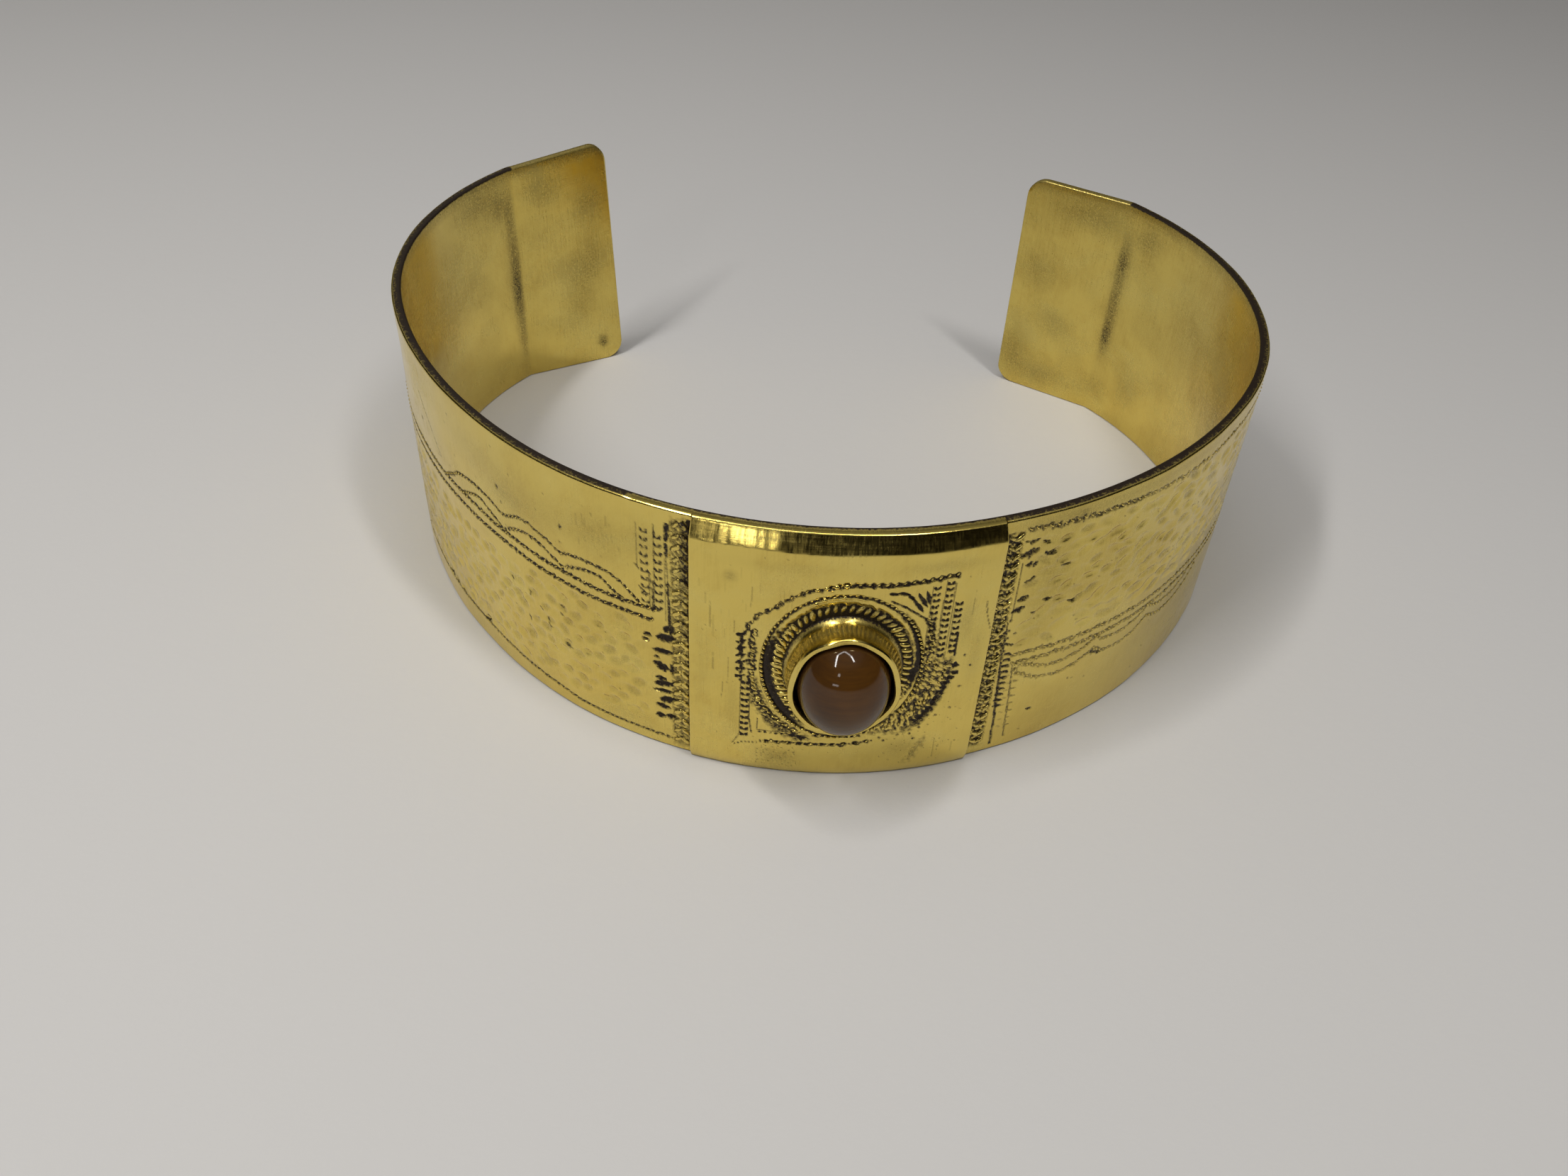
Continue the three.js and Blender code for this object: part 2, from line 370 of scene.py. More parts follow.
RIGHT_WIDE_ROPE = [
    (11.2, 19.55), (13, 19.4), (16, 19.3), (20, 19.1), (25, 18.9), (30, 18.95), (34, 19.1),
    (42, 19.1), (48, 19.1),
]

# Comb strokes beside the braids: where each starts and ends, and how wide it is midway.
LEFT_COMB = [
    ((-11.95, 9.95), (-10.6, 10.1), 0.62), ((-12.25, 8.75), (-10.7, 8.85), 0.42),
    ((-12.15, 8.15), (-11.7, 8.15), 0.2), ((-12.25, 7.65), (-11.0, 7.3), 0.5),
    ((-11.95, 7.3), (-11.2, 7.1), 0.3), ((-12.1, 6.25), (-11.2, 6.35), 0.3),
    ((-12.2, 5.7), (-10.6, 6.05), 0.45), ((-12.25, 5.1), (-10.7, 5.25), 0.3),
    ((-11.8, 4.3), (-10.65, 4.6), 0.55), ((-12.1, 3.8), (-11.0, 3.7), 0.36),
    ((-12.1, 2.75), (-11.35, 2.8), 0.42), ((-11.35, 2.95), (-10.7, 2.85), 0.4),
    ((-12.85, 9.9), (-12.25, 9.85), 0.34), ((-13.0, 9.45), (-12.4, 9.4), 0.25),
    ((-11.45, 10.75), (-10.9, 10.8), 0.5),
]
RIGHT_COMB = [
    ((11.0, 18.6), (12.1, 18.6), 0.26), ((12.3, 18.3), (12.9, 18.2), 0.2),
    ((10.7, 17.45), (12.2, 17.9), 0.5), ((11.3, 16.7), (12.3, 16.75), 0.36),
    ((12.5, 17.4), (13.5, 17.2), 0.24), ((11.5, 15.25), (12.3, 15.65), 0.3),
    ((11.2, 13.8), (12.1, 14.15), 0.42), ((11.0, 12.9), (12.0, 13.2), 0.42),
    ((13.2, 13.4), (14.0, 13.3), 0.22), ((12.5, 12.45), (12.9, 12.5), 0.22),
    ((14.0, 16.0), (14.9, 15.8), 0.2), ((15.4, 12.5), (16.3, 12.3), 0.25),
    ((11.0, 10.25), (11.85, 9.85), 0.16), ((18.6, 6.4), (20.2, 5.8), 0.3),
    ((13.9, 3.15), (14.5, 3.0), 0.18),
]


# Soft stains: run, height, how far they reach along and up, and strength.
LEFT_STAINS = (
    (-20, 16.5, 4.5, 1.8, 0.12), (-15.5, 16.8, 2.0, 2.0, 0.12), (-27, 17.5, 4.0, 1.5, 0.1),
    (-24, 15.9, 1.6, 0.8, 0.12), (-34, 14.8, 2.5, 1.6, 0.08), (-12.6, 17.5, 1.2, 1.5, 0.14),
    (-30, 7.0, 5.0, 2.5, 0.06), (-14.5, 1.8, 3.0, 0.8, 0.1),
)


def chase_left(relief):
    """The left shoulder, from the plaque to the wrist's side."""
    for points in LEFT_ROPES[:2]:
        relief.line(smooth_line(points), 0.27, 0.08, 1.0, rag=0.25)
    for points in LEFT_ROPES[2:8]:
        relief.line(smooth_line(points), 0.19, 0.06, 0.95, rag=0.25)
    relief.line(smooth_line(LEFT_ROPES[8]), 0.2, 0.06, 0.85, rag=0.2)
    relief.ground(lambda s, z: between(s, -10.85, -9.35, 0.15) * between(z, 0.5, 19.8, 0.6),
                  0.13, 0.55, (-11.2, 0), (-9.3, 20.5))
    # Painted shadow: a shallow groove painted black along the plaque's left edge, where the raised plaque
    # meets the arm.
    relief.line([(-9.62, 19.9), (-9.6, 10), (-9.55, 0.9)], 0.34, 0.06, 1.0)
    for s0, slant in ((-10.75, 0.9), (-10.45, 0.8), (-10.0, -0.8)):
        relief.grains([(s0, 19.3), (s0, 10), (s0, 1.0)], 0.42, 0.38, 0.18, 0.06, slant, 0.08)
    relief.ground(lambda s, z: between(s, -10.15, -9.6, 0.25) * between(z, 14.6, 19.8, 0.8), 0.02, 0.85,
                  (-10.5, 14), (-9.3, 20.5))
    relief.line([(-11.05, 19.3), (-11.1, 18.2)], 0.3, 0.08, 0.95)
    relief.line([(-11.1, 17.8), (-11.1, 16.95)], 0.24, 0.06, 0.85)
    relief.line([(-11.1, 16.8), (-11.05, 14.9)], 0.1, 0.03, 0.5)
    relief.line([(-11.05, 14.8), (-10.95, 11.4)], 0.17, 0.06, 0.9)
    relief.line([(-11.25, 17.0), (-11.2, 11.6)], 0.08, 0.03, 0.45)
    relief.line([(-10.95, 11.4), (-10.85, 10.4)], 0.4, 0.06, 0.9, taper=True)
    relief.line([(-10.9, 7.9), (-10.85, 6.9)], 0.26, 0.06, 0.95, taper=True)
    relief.chevrons(-11.68, np.arange(12.35, 18.6, 0.63), 0.28, 0.3, 0.21, 0.06, 0.9)
    relief.chevrons(-12.6, np.arange(12.6, 18.4, 0.63), 0.28, 0.3, 0.2, 0.055, 0.85)
    relief.line([(-11.95, 19.2), (-11.9, 17.9)], 0.16, 0.05, 0.75, taper=True)
    relief.line([(-11.95, 17.9), (-11.98, 12.3)], 0.09, 0.035, 0.4)
    relief.line([(-12.0, 14.6), (-12.05, 12.3)], 0.17, 0.05, 0.75)
    relief.line([(-12.25, 15.2), (-12.3, 12.2)], 0.12, 0.04, 0.6)
    relief.line([(-13.1, 18.8), (-13.1, 15.4)], 0.08, 0.025, 0.35)
    relief.line([(-13.3, 15.7), (-12.95, 15.2)], 0.14, 0.04, 0.6, taper=True)
    relief.line([(-13.05, 13.9), (-12.4, 13.3)], 0.16, 0.05, 0.8, taper=True)
    relief.line([(-13.5, 12.95), (-13.0, 12.5)], 0.18, 0.05, 0.8, taper=True)
    for start, end, width in LEFT_COMB:
        bow = ((start[0] + end[0]) / 2, (start[1] + end[1]) / 2 + 0.08)
        relief.line([start, bow, end], 1.1 * width, 0.12, 1.0, taper=True, rag=0.08)
    relief.dent(-24.9, 16.2, 0.35, 0.5, 0.05, 0.2, 0.8)
    relief.dent(-18.9, 16.1, 0.3, 0.5, 0.05, -0.2, 0.8)
    relief.dent(-24.6, 15.1, 0.2, 0.2, 0.03, 0, 0.6)
    relief.dent(-19.0, 14.8, 0.2, 0.2, 0.03, 0, 0.6)
    relief.dent(-36.5, 15.1, 0.3, 0.4, 0.04, 0, 0.6)
    relief.line([(-33, 14), (-36.5, 17.5)], 0.1, 0.025, 0.35)
    relief.line([(-19.6, 9.1), (-19.2, 9.05)], 0.2, 0.04, 0.7, taper=True)
    relief.line([(-19.6, 8.5), (-19.2, 8.3)], 0.2, 0.04, 0.6, taper=True)
    relief.line([(-19.4, 5.9), (-18.6, 5.7)], 0.22, 0.05, 0.8, taper=True)
    for stain in LEFT_STAINS:
        relief.stain(*stain)
    relief.hammered((-50, 2.4), (-13.0, 11.0), (1.25, 0.95), (1.25, 0.85), 0.1, 0.16,
                    lambda s, z: z < 10.9 and s < -12.9)
    for s0, z0 in ((-22.6, 8.9), (-21.6, 8.1), (-21.0, 7.4), (-20.8, 6.9), (-23.4, 7.9), (-24.4, 9.0),
                   (-22.9, 6.5)):
        relief.line([(s0, z0), (s0 + 0.25, z0 - 0.28), (s0 + 0.2, z0 - 0.6)], 0.1, 0.03, 0.8, taper=True)
    for _ in range(16):
        s0 = relief.draw.uniform(-17.8, -13.8)
        z0 = relief.draw.uniform(15.2, 17.5)
        relief.line([(s0, z0), (s0 - 0.15, z0 + relief.draw.uniform(1.0, 2.4))], 0.06, 0.01, 0.22)
    relief.specks(70, (-34, 1), (-12, 19.5), 0.14, 0.012, 0.4)


RIGHT_STAINS = (
    (14, 19.9, 6.0, 0.6, 0.16), (24, 19.8, 8.0, 0.6, 0.14), (13.5, 15.5, 1.8, 4.0, 0.14),
    (20, 14, 7.0, 4.0, 0.08), (15.0, 19.6, 0.4, 0.5, 0.2), (13, 10.5, 1.5, 1.5, 0.1),
    (17, 7.4, 4.0, 1.2, 0.1), (30, 6.0, 6.0, 4.0, 0.1),
)


def chase_right(relief):
    """The right shoulder, which is the left one turned half a turn."""
    for points in RIGHT_ROPES[:2]:
        relief.line(smooth_line(points), 0.3, 0.06, 0.5, rag=0.3)
    for points in RIGHT_ROPES[2:]:
        relief.line(smooth_line(points), 0.24, 0.05, 0.45, rag=0.3)
    relief.line(smooth_line(RIGHT_WIDE_ROPE[:4]), 0.32, 0.06, 0.7, rag=0.35)
    relief.line(smooth_line(RIGHT_WIDE_ROPE[3:]), 0.28, 0.05, 0.45, rag=0.35)
    relief.ground(lambda s, z: between(s, 9.3, 10.85, 0.15) * between(z, 0.9, 19.3, 0.6), 0.14, 0.9,
                  (9.3, 0), (11.2, 20.5))
    # Painted shadow: a shallow groove painted black along the plaque's right edge, where the raised plaque
    # meets the arm.
    relief.line([(9.75, 19.3), (9.72, 10), (9.78, 1.6)], 0.34, 0.06, 1.0)
    for s0, slant in ((9.85, -0.8), (10.15, -0.9), (10.45, 0.9), (10.75, 0.8)):
        relief.grains([(s0, 18.9), (s0 + 0.05, 10), (s0 + 0.2, 1.3)], 0.4, 0.36, 0.2, 0.07, slant, 0.08)
    relief.line([(11.1, 16.9), (11.15, 12.2)], 0.1, 0.035, 0.6)
    relief.line([(10.95, 12.0), (11.0, 9.2)], 0.12, 0.04, 0.8)
    relief.line([(11.0, 9.2), (11.25, 5.2), (11.45, 2.9), (11.5, 0.6)], 0.17, 0.05, 0.9)
    relief.line([(12.02, 7.9), (12.2, 6), (12.3, 4.4), (12.4, 2.5), (12.5, 1.0)], 0.12, 0.035, 0.6)
    for z0 in np.arange(4.4, 9.2, 0.53):
        relief.line([(11.1, z0 - 0.02), (11.45, z0), (11.8, z0 - 0.18)], 0.26, 0.07, 0.95, taper=True)
    for z0 in np.arange(2.2, 7.6, 0.7):
        relief.line([(12.25, z0), (12.75, z0 - 0.1)], 0.12, 0.03, 0.5, taper=True)
        relief.line([(11.7, z0), (12.1, z0 - 0.1)], 0.1, 0.02, 0.3, taper=True)
    for start, end, width in RIGHT_COMB:
        bow = ((start[0] + end[0]) / 2, (start[1] + end[1]) / 2 - 0.06)
        relief.line([start, bow, end], width, 0.1, 0.85, taper=True, rag=0.25)
    for s0, z0 in ((11.1, 12.2), (11.15, 11.3), (11.65, 10.95), (11.15, 10.65), (11.1, 9.5)):
        relief.dent(s0, z0, 0.3, 0.26, 0.05, 0, 0.85)
    for stain in RIGHT_STAINS:
        relief.stain(*stain)
    relief.hammered((12.6, 9.8), (50, 18.6), (1.65, 0.85), (1.7, 0.8), 0.1, 0.2,
                    lambda s, z: 9.6 < z < 18.6)
    relief.specks(90, (12, 1), (36, 19), 0.15, 0.014, 0.45)


RING = (0.15, 10.1)
LOW_RIGHT_ARCS = [
    [(5.45, 10.3), (5.4, 9.0), (5.1, 7.9), (4.7, 7.0), (4.1, 6.0), (3.4, 5.2), (2.5, 4.6), (1.8, 4.35)],
    [(6.05, 10.4), (6.05, 9.2), (5.8, 8.0), (5.3, 6.9), (4.7, 6.0), (4.0, 5.2), (3.2, 4.6)],
    [(6.7, 10.3), (6.7, 9.3), (6.35, 8.1), (5.95, 7.1), (5.35, 6.2), (4.7, 5.5), (4.2, 4.9)],
]
PLAQUE_OUTER = [
    (6.55, 17.5), (6, 17.45), (5, 17.3), (4, 17.2), (3, 17.1), (2, 17.1), (1, 17.1), (0, 17.08),
    (-0.95, 16.85), (-1.5, 16.7), (-2.4, 16.4), (-3, 16.0), (-3.6, 15.5), (-4.2, 15.0),
    (-4.7, 14.6), (-5.2, 14.1), (-5.6, 13.4), (-5.85, 12.6),
]
PLAQUE_FOOT = [
    (-6.5, 2.4), (-5.5, 2.7), (-4.7, 2.95), (-4, 3.1), (-2, 3.1), (0.2, 3.15), (1.6, 3.3),
    (2.2, 3.45),
]
PLAQUE_LEFT = [
    (-5.3, 12.9), (-5.42, 12), (-5.45, 10), (-5.4, 8.6), (-5.15, 7.4), (-4.75, 6.5), (-4.1, 5.6),
    (-3.3, 4.8), (-2.5, 4.3),
]
PLAQUE_RIGHT = [(5.15, 14.2), (5.45, 13.0), (5.6, 11.8), (5.6, 10.4)]
POLISHED = [
    [(-0.05, 17.0), (-0.5, 16.95), (-1.75, 16.62)],
    [(-0.1, 16.12), (-0.9, 16.0), (-1.4, 15.8), (-1.75, 15.5)],
]
# Columns of chevrons: run, foot and top.
COLUMNS = [(5.4, 11.0, 16.8), (6.2, 10.8, 17.15), (6.95, 11.0, 15.3)]
RIGHT_EDGE = [(7.55, 9.9), (7.55, 9.2), (7.1, 8.4), (6.8, 7.5), (6.4, 6.6), (5.95, 5.8), (5.3, 5.1)]
STRAY_DENTS = [(3.0, 3.75), (3.3, 3.45), (4.2, 3.9), (5.0, 3.9), (5.3, 3.4), (5.6, 4.4), (8.4, 9.6),
               (7.9, 10.6), (6.6, 5.4), (7.5, 5.9), (7.9, 7.8), (4.4, 4.6), (3.7, 4.4)]
# Upright scratches: run, foot and top.
LONG_SCRATCHES = [(-6.95, 8.0, 10.2), (-8.1, 12.6, 14.8), (-7.9, 9.0, 10.6), (-7.3, 6.5, 8.0),
                  (6.8, 1.3, 2.9), (7.1, 1.9, 2.4), (-5.6, 14.8, 16.4), (-6.6, 12.5, 13.5),
                  (7.9, 14.0, 16.2)]


PLAQUE_STAINS = (
    (-6.9, 17.0, 0.35, 0.4, 0.25), (-8.6, 9.0, 0.5, 3.0, 0.08), (7.6, 13.5, 0.5, 2.0, 0.12),
    (8.6, 10.5, 0.6, 2.5, 0.1), (-3.0, 18.2, 3.0, 0.5, 0.08), (5.5, 18.3, 2.5, 0.5, 0.12),
    (-3.6, 1.8, 1.3, 0.7, 0.22), (4.6, 2.6, 1.4, 0.9, 0.16), (0.5, 2.0, 2.0, 0.8, 0.08),
    (-6.6, 6.0, 0.6, 2.5, 0.12),
)


def chase_plaque(relief):
    """The plaque's face: an oval rope ring in a pointed frame, round the collar."""
    def ringed(s, z, across, upright, middle=RING):
        return np.hypot((s - middle[0]) / across, (z - middle[1]) / upright)

    relief.line(smooth_line(PLAQUE_OUTER[:9]), 0.28, 0.08, 0.95, rag=0.2)
    relief.line(smooth_line(PLAQUE_OUTER[8:]), 0.26, 0.07, 0.85, rag=0.3)
    for s0, z0 in smooth_line(PLAQUE_OUTER[:9], 0.52):
        relief.dent(s0, z0 + 0.08, 0.4, 0.46, 0.07, 0, 1.0)
    for z0 in np.arange(8.7, 12.5, 0.6):
        relief.line([(-5.8, z0 + 0.28), (-6.5, z0)], 0.3, 0.08, 1.0, taper=True, rag=0.25)
        relief.line([(-6.0, z0 + 0.15), (-6.2, z0 - 0.38)], 0.2, 0.06, 0.95, taper=True, rag=0.25)
    relief.line([(-6.1, 8.4), (-6.1, 3.4), (-6.55, 2.4)], 0.08, 0.03, 0.55)
    relief.line([(-5.5, 8.2), (-5.5, 5.0), (-5.3, 3.7)], 0.1, 0.04, 0.7)
    relief.chevrons(-5.8, np.arange(3.3, 8.7, 0.54), 0.24, 0.26, 0.26, 0.07, 1.0)
    # The dark band round the collar's foot, with a crescent on either side of it. The band is painted shade:
    # a shallow lowered ground painted black for the deep shade in the recess round the collar.
    relief.ground(lambda s, z: between(ringed(s, z, 1.0, 1.23), 0, 4.5, 0.25), 0.1, 1.0, (-6, 3), (6, 17))
    relief.ground(lambda s, z: between(ringed(s, z, 1.0, 1.2, (0.35, 10.8)), 4.3, 4.75, 0.15)
                  * between(z, 7.4, 14.4, 1.2), 0.1, 1.0, (3.0, 6.0), (6.5, 15.5))
    relief.ground(lambda s, z: between(ringed(s, z, 1.0, 1.22, (0.2, 10.0)), 4.38, 5.08, 0.2)
                  * between(z, 4.6, 12.6, 2.0), 0.1, 1.0, (-6, 3.5), (-1.9, 13.9))
    # Worn marks between the ring and the frame's lower left corner.
    relief.ground(lambda s, z: between(ringed(s, z, 1.0, 1.2, (0.2, 9.9)), 5.35, 6.2, 0.35)
                  * between(z, 3.6, 8.6, 1.0) * between(s, -5.6, -1.6, 0.8),
                  0.06, 0.8, (-6.2, 3.2), (-1.4, 9.6))
    for across, upright in ((5.45, 6.5), (5.75, 6.8), (6.0, 7.1)):
        relief.grains(oval(RING, across, upright, 196, 248), 0.38, 0.36, 0.22, 0.06, 0.9, 0.08)
    relief.line(oval(RING, 4.98, 6.2, -40, 200), 0.24, 0.08, 0.95)
    relief.line(oval(RING, 4.95, 6.15, 195, 300), 0.2, 0.07, 0.9)
    relief.grains(oval(RING, 3.75, 4.6, 135, 250), 0.36, 0.36, 0.26, 0.07, 1.2)
    relief.grains(oval(RING, 4.22, 5.3, 140, 235), 0.42, 0.3, 0.24, 0.06, 0.9)
    relief.grains(oval(RING, 4.5, 5.55, 230, 345), 0.34, 0.34, 0.22, 0.06, 0.8)
    relief.grains(oval(RING, 3.9, 4.85, 240, 330), 0.36, 0.34, 0.22, 0.06, 1.0)
    # The ground under the worn leaves at the lower right, outside the ring.
    relief.ground(lambda s, z: between(ringed(s, z, 1.0, 1.12, (0.6, 9.6)), 4.5, 6.6, 0.3)
                  * between(z, 4.3, 10.4, 0.8) * between(s, 2.2, 9.0, 1.0),
                  0.07, 0.85, (1.5, 3.0), (8.5, 11.5))
    for points in LOW_RIGHT_ARCS:
        relief.line(smooth_line(points), 0.16, 0.05, 1.0, rag=0.3)
    for offset in (-0.35, 0.05, 0.42, 0.8):
        arc = [(s0 + offset, z0 - 0.25 * offset) for s0, z0 in smooth_line(LOW_RIGHT_ARCS[1])]
        relief.grains(arc, 0.46, 0.6, 0.25, 0.07, 0.9, 0.09)
    for s0, z0 in smooth_line(RIGHT_EDGE, 0.48):
        relief.line([(s0 - 0.4, z0 + 0.02), (s0 + 0.12, z0 - 0.16)], 0.42, 0.08, 1.0, taper=True, rag=0.3)
    for points in (PLAQUE_LEFT, PLAQUE_RIGHT):
        relief.line(smooth_line(points), 0.42, 0.08, 0.95, rag=0.25)
        relief.grains(smooth_line(points), 0.38, 0.36, 0.2, 0.07, 0.8)
    relief.grains([(-4.95, 12.6), (-5.0, 11), (-5.0, 9.6)], 0.5, 0.3, 0.12, 0.03, 0)
    for s0, low, high in COLUMNS:
        relief.line([(s0 - 0.28, high), (s0 - 0.24, low)], 0.08, 0.03, 0.55)
        relief.chevrons(s0, np.arange(low, high, 0.5), 0.2, 0.26, 0.21, 0.07, 1.0)
    relief.line([(6.5, 16.9), (6.55, 13.5), (6.5, 10.6)], 0.08, 0.03, 0.5)
    relief.line([(5.85, 15.6), (5.9, 13.0), (5.9, 10.6)], 0.08, 0.03, 0.5)
    relief.grains([(5.8, 13.2), (5.85, 10.5)], 0.5, 0.36, 0.2, 0.04, 0.9)
    relief.line([(7.15, 12.7), (7.2, 11.6), (7.2, 10.7)], 0.15, 0.05, 0.9)
    for points in ([(3.95, 15.95), (4.75, 14.75)], [(4.25, 16.4), (4.95, 15.1)], [(4.75, 16.5), (5.1, 15.3)],
                   [(3.6, 16.35), (4.1, 15.8)], [(3.0, 16.5), (3.8, 16.3)], [(2.5, 16.45), (3.1, 16.4)]):
        relief.line(points, 0.26, 0.08, 1.0, taper=True, rag=0.1)
    relief.line([(2.7, 15.85), (3.6, 15.3), (4.2, 14.8), (5.1, 14.1)], 0.14, 0.06, 0.85, rag=0.1)
    relief.line([(-1.3, 3.95), (0.2, 3.95), (1.7, 4.0)], 0.17, 0.07, 1.0)
    relief.line([(-3.0, 3.9), (-2.3, 3.72), (-1.5, 3.6)], 0.3, 0.07, 1.0, taper=True, rag=0.4)
    for s0 in np.arange(-4.9, -3.2, 0.36):
        relief.line([(s0, 3.85), (s0 + 0.24, 3.9)], 0.16, 0.05, 0.95, taper=True)
    relief.line(smooth_line(PLAQUE_FOOT[2:]), 0.17, 0.06, 0.85, rag=0.5)
    for s0 in np.arange(-4.3, 2.4, 0.72):
        z0 = np.interp(s0, (-4.5, -2, 0.2, 2.4), (3.0, 3.1, 3.15, 3.5))
        relief.dent(s0, z0, 0.54, 0.4, 0.08, 0, 1.0)
        relief.dent(s0 + 0.33, z0 + 0.05, 0.18, 0.18, 0.04, 0, 0.8)
    for s0 in np.arange(-6.4, -4.5, 0.24):
        relief.dent(s0, 2.42 + 0.3 * (s0 + 6.5) + relief.draw.normal(0, 0.05), 0.18, 0.22, 0.03, 0, 0.75)
    relief.line([(-4.95, 5.1), (-4.95, 4.05), (-3.6, 4.05)], 0.09, 0.03, 0.7)
    for points in ([(-4.7, 5.5), (-4.1, 5.1)], [(-4.4, 6.2), (-3.9, 5.5)], [(-4.0, 5.0), (-3.4, 4.4)]):
        relief.line(points, 0.2, 0.05, 0.9, taper=True)
    for s0, z0 in STRAY_DENTS:
        relief.dent(s0, z0, 0.28, 0.22, 0.03, relief.draw.uniform(0, 3), 0.85)
    for stain in PLAQUE_STAINS:
        relief.stain(*stain)
    relief.specks(90, (-5.0, 0.7), (-2.2, 2.7), 0.11, 0.012, 0.55)
    relief.specks(70, (3, 1.0), (8.5, 6.0), 0.11, 0.012, 0.5)
    relief.specks(90, (-9.0, 1.0), (9.0, 19), 0.1, 0.01, 0.4)
    for _ in range(110):
        s0, z0 = relief.draw.uniform((-9.2, 0.8), (9.2, 16.8))
        length, dark = relief.draw.uniform((0.5, 0.03), (2.4, 0.15))
        if abs(s0) > 6.8 or z0 < 2.2 or (s0 < -2 and z0 > 15.5 + s0 * 0.4):
            relief.line([(s0, z0), (s0 + 0.06, z0 + length)], 0.05, 0.005, dark, taper=True)
    relief.ground(lambda s, z: between(s - 0.42 * (z - 2.2), 5.3, 5.8, 0.5) * between(z, 1.2, 3.3, 0.8),
                  0.0, 0.38, (3.5, 0.4), (7.5, 4.2))
    relief.line([(8.75, 15.0), (8.9, 14.0), (9.15, 13.1), (9.3, 12.6)], 0.07, 0.01, 0.6)
    # Uneven facets that a file left on the left half of the bevel.
    s, z = relief.runs[:, None], relief.heights[None, :]
    filed = 0.007 * waves(s, z * 0.1, 0.9, 31)
    relief.rise += filed * between(z, 19.3, 20.5, 0.2) * between(s, -9.4, -1.5, 3)
    for s0, low, high in LONG_SCRATCHES:
        relief.line([(s0, low), (s0 + 0.04, high)], 0.06, 0.008, 0.3)


class Wire:
    """A socket of a node tree. A sum on wires adds the Math nodes that work it out."""

    def __init__(self, graph, socket):
        self.graph, self.socket = graph, socket

    def __getitem__(self, name):
        return Wire(self.graph, self.graph.find(self.socket.node.outputs, name))

    def sum(self, operation, *values):
        return self.graph.node("ShaderNodeMath", {"operation": operation}, dict(enumerate(values)))

    def __add__(self, other):
        return self.sum("ADD", self, other)

    def __sub__(self, other):
        return self.sum("SUBTRACT", self, other)

    def __rsub__(self, other):
        return self.sum("SUBTRACT", other, self)

    def __mul__(self, other):
        return self.sum("MULTIPLY", self, other)

    __radd__ = __add__
    __rmul__ = __mul__

    def clamp(self):
        return self.graph.node("ShaderNodeClamp", {}, {0: self})


class Graph:
    """A node tree under construction."""

    def __init__(self, tree):
        self.tree = tree

    @staticmethod
    def find(sockets, name):
        if isinstance(name, int):
            return sockets[name]
        return next(s for s in sockets if s.name == name and s.enabled)

    def node(self, kind, settings=None, inputs=None):
        """Adds a node, sets its settings and then its sockets, and gives its first output."""
        made = self.tree.nodes.new(kind)
        for name, value in (settings or {}).items():
            if name == "stops":
                ramp = made.color_ramp
                while len(ramp.elements) < len(value):
                    ramp.elements.new(1.0)
                for element, (place, colour) in zip(ramp.elements, value):
                    element.position, element.color = place, colour
            else:
                setattr(made, name, value)
        for name, value in (inputs or {}).items():
            socket = self.find(made.inputs, name)
            if isinstance(value, Wire):
                self.tree.links.new(value.socket, socket)
            else:
                socket.default_value = value
        out = next((s for s in made.outputs if s.enabled), None)
        return Wire(self, out) if out else made

    def mix(self, factor, first, second):
        """A colour between two others."""
        return self.node("ShaderNodeMix", {"data_type": "RGBA"}, {"Factor": factor, "A": first, "B": second})

    def scaled(self, vector, scale):
        return self.node("ShaderNodeVectorMath", {"operation": "MULTIPLY"}, {0: vector, 1: scale})

    def noise(self, vector, scale, detail=3.0, roughness=0.5, distortion=0.0):
        return self.node("ShaderNodeTexNoise", {}, {
            "Vector": vector, "Scale": scale, "Detail": detail, "Roughness": roughness,
            "Distortion": distortion,
        })

    def attribute(self, name, kind="FLOAT"):
        """A named attribute of a mesh, in Geometry Nodes."""
        return self.node("GeometryNodeInputNamedAttribute", {"data_type": kind}, {"Name": name})

    def stored(self, geometry, name, value):
        """Geometry with a value noted on its points."""
        return self.node("GeometryNodeStoreNamedAttribute", {"data_type": "FLOAT", "domain": "POINT"},
                         {"Geometry": geometry, "Name": name, "Value": value})

    def uneven(self, seed):
        """A random number from -1 to 1 for each point, in Geometry Nodes."""
        return self.node("FunctionNodeRandomValue", {"data_type": "FLOAT"},
                         {"Min": -1.0, "Max": 1.0, "Seed": seed})


def new_material(name):
    material = bpy.data.materials.new(name)
    material.use_nodes = True
    material.node_tree.nodes.clear()
    return material, Graph(material.node_tree)


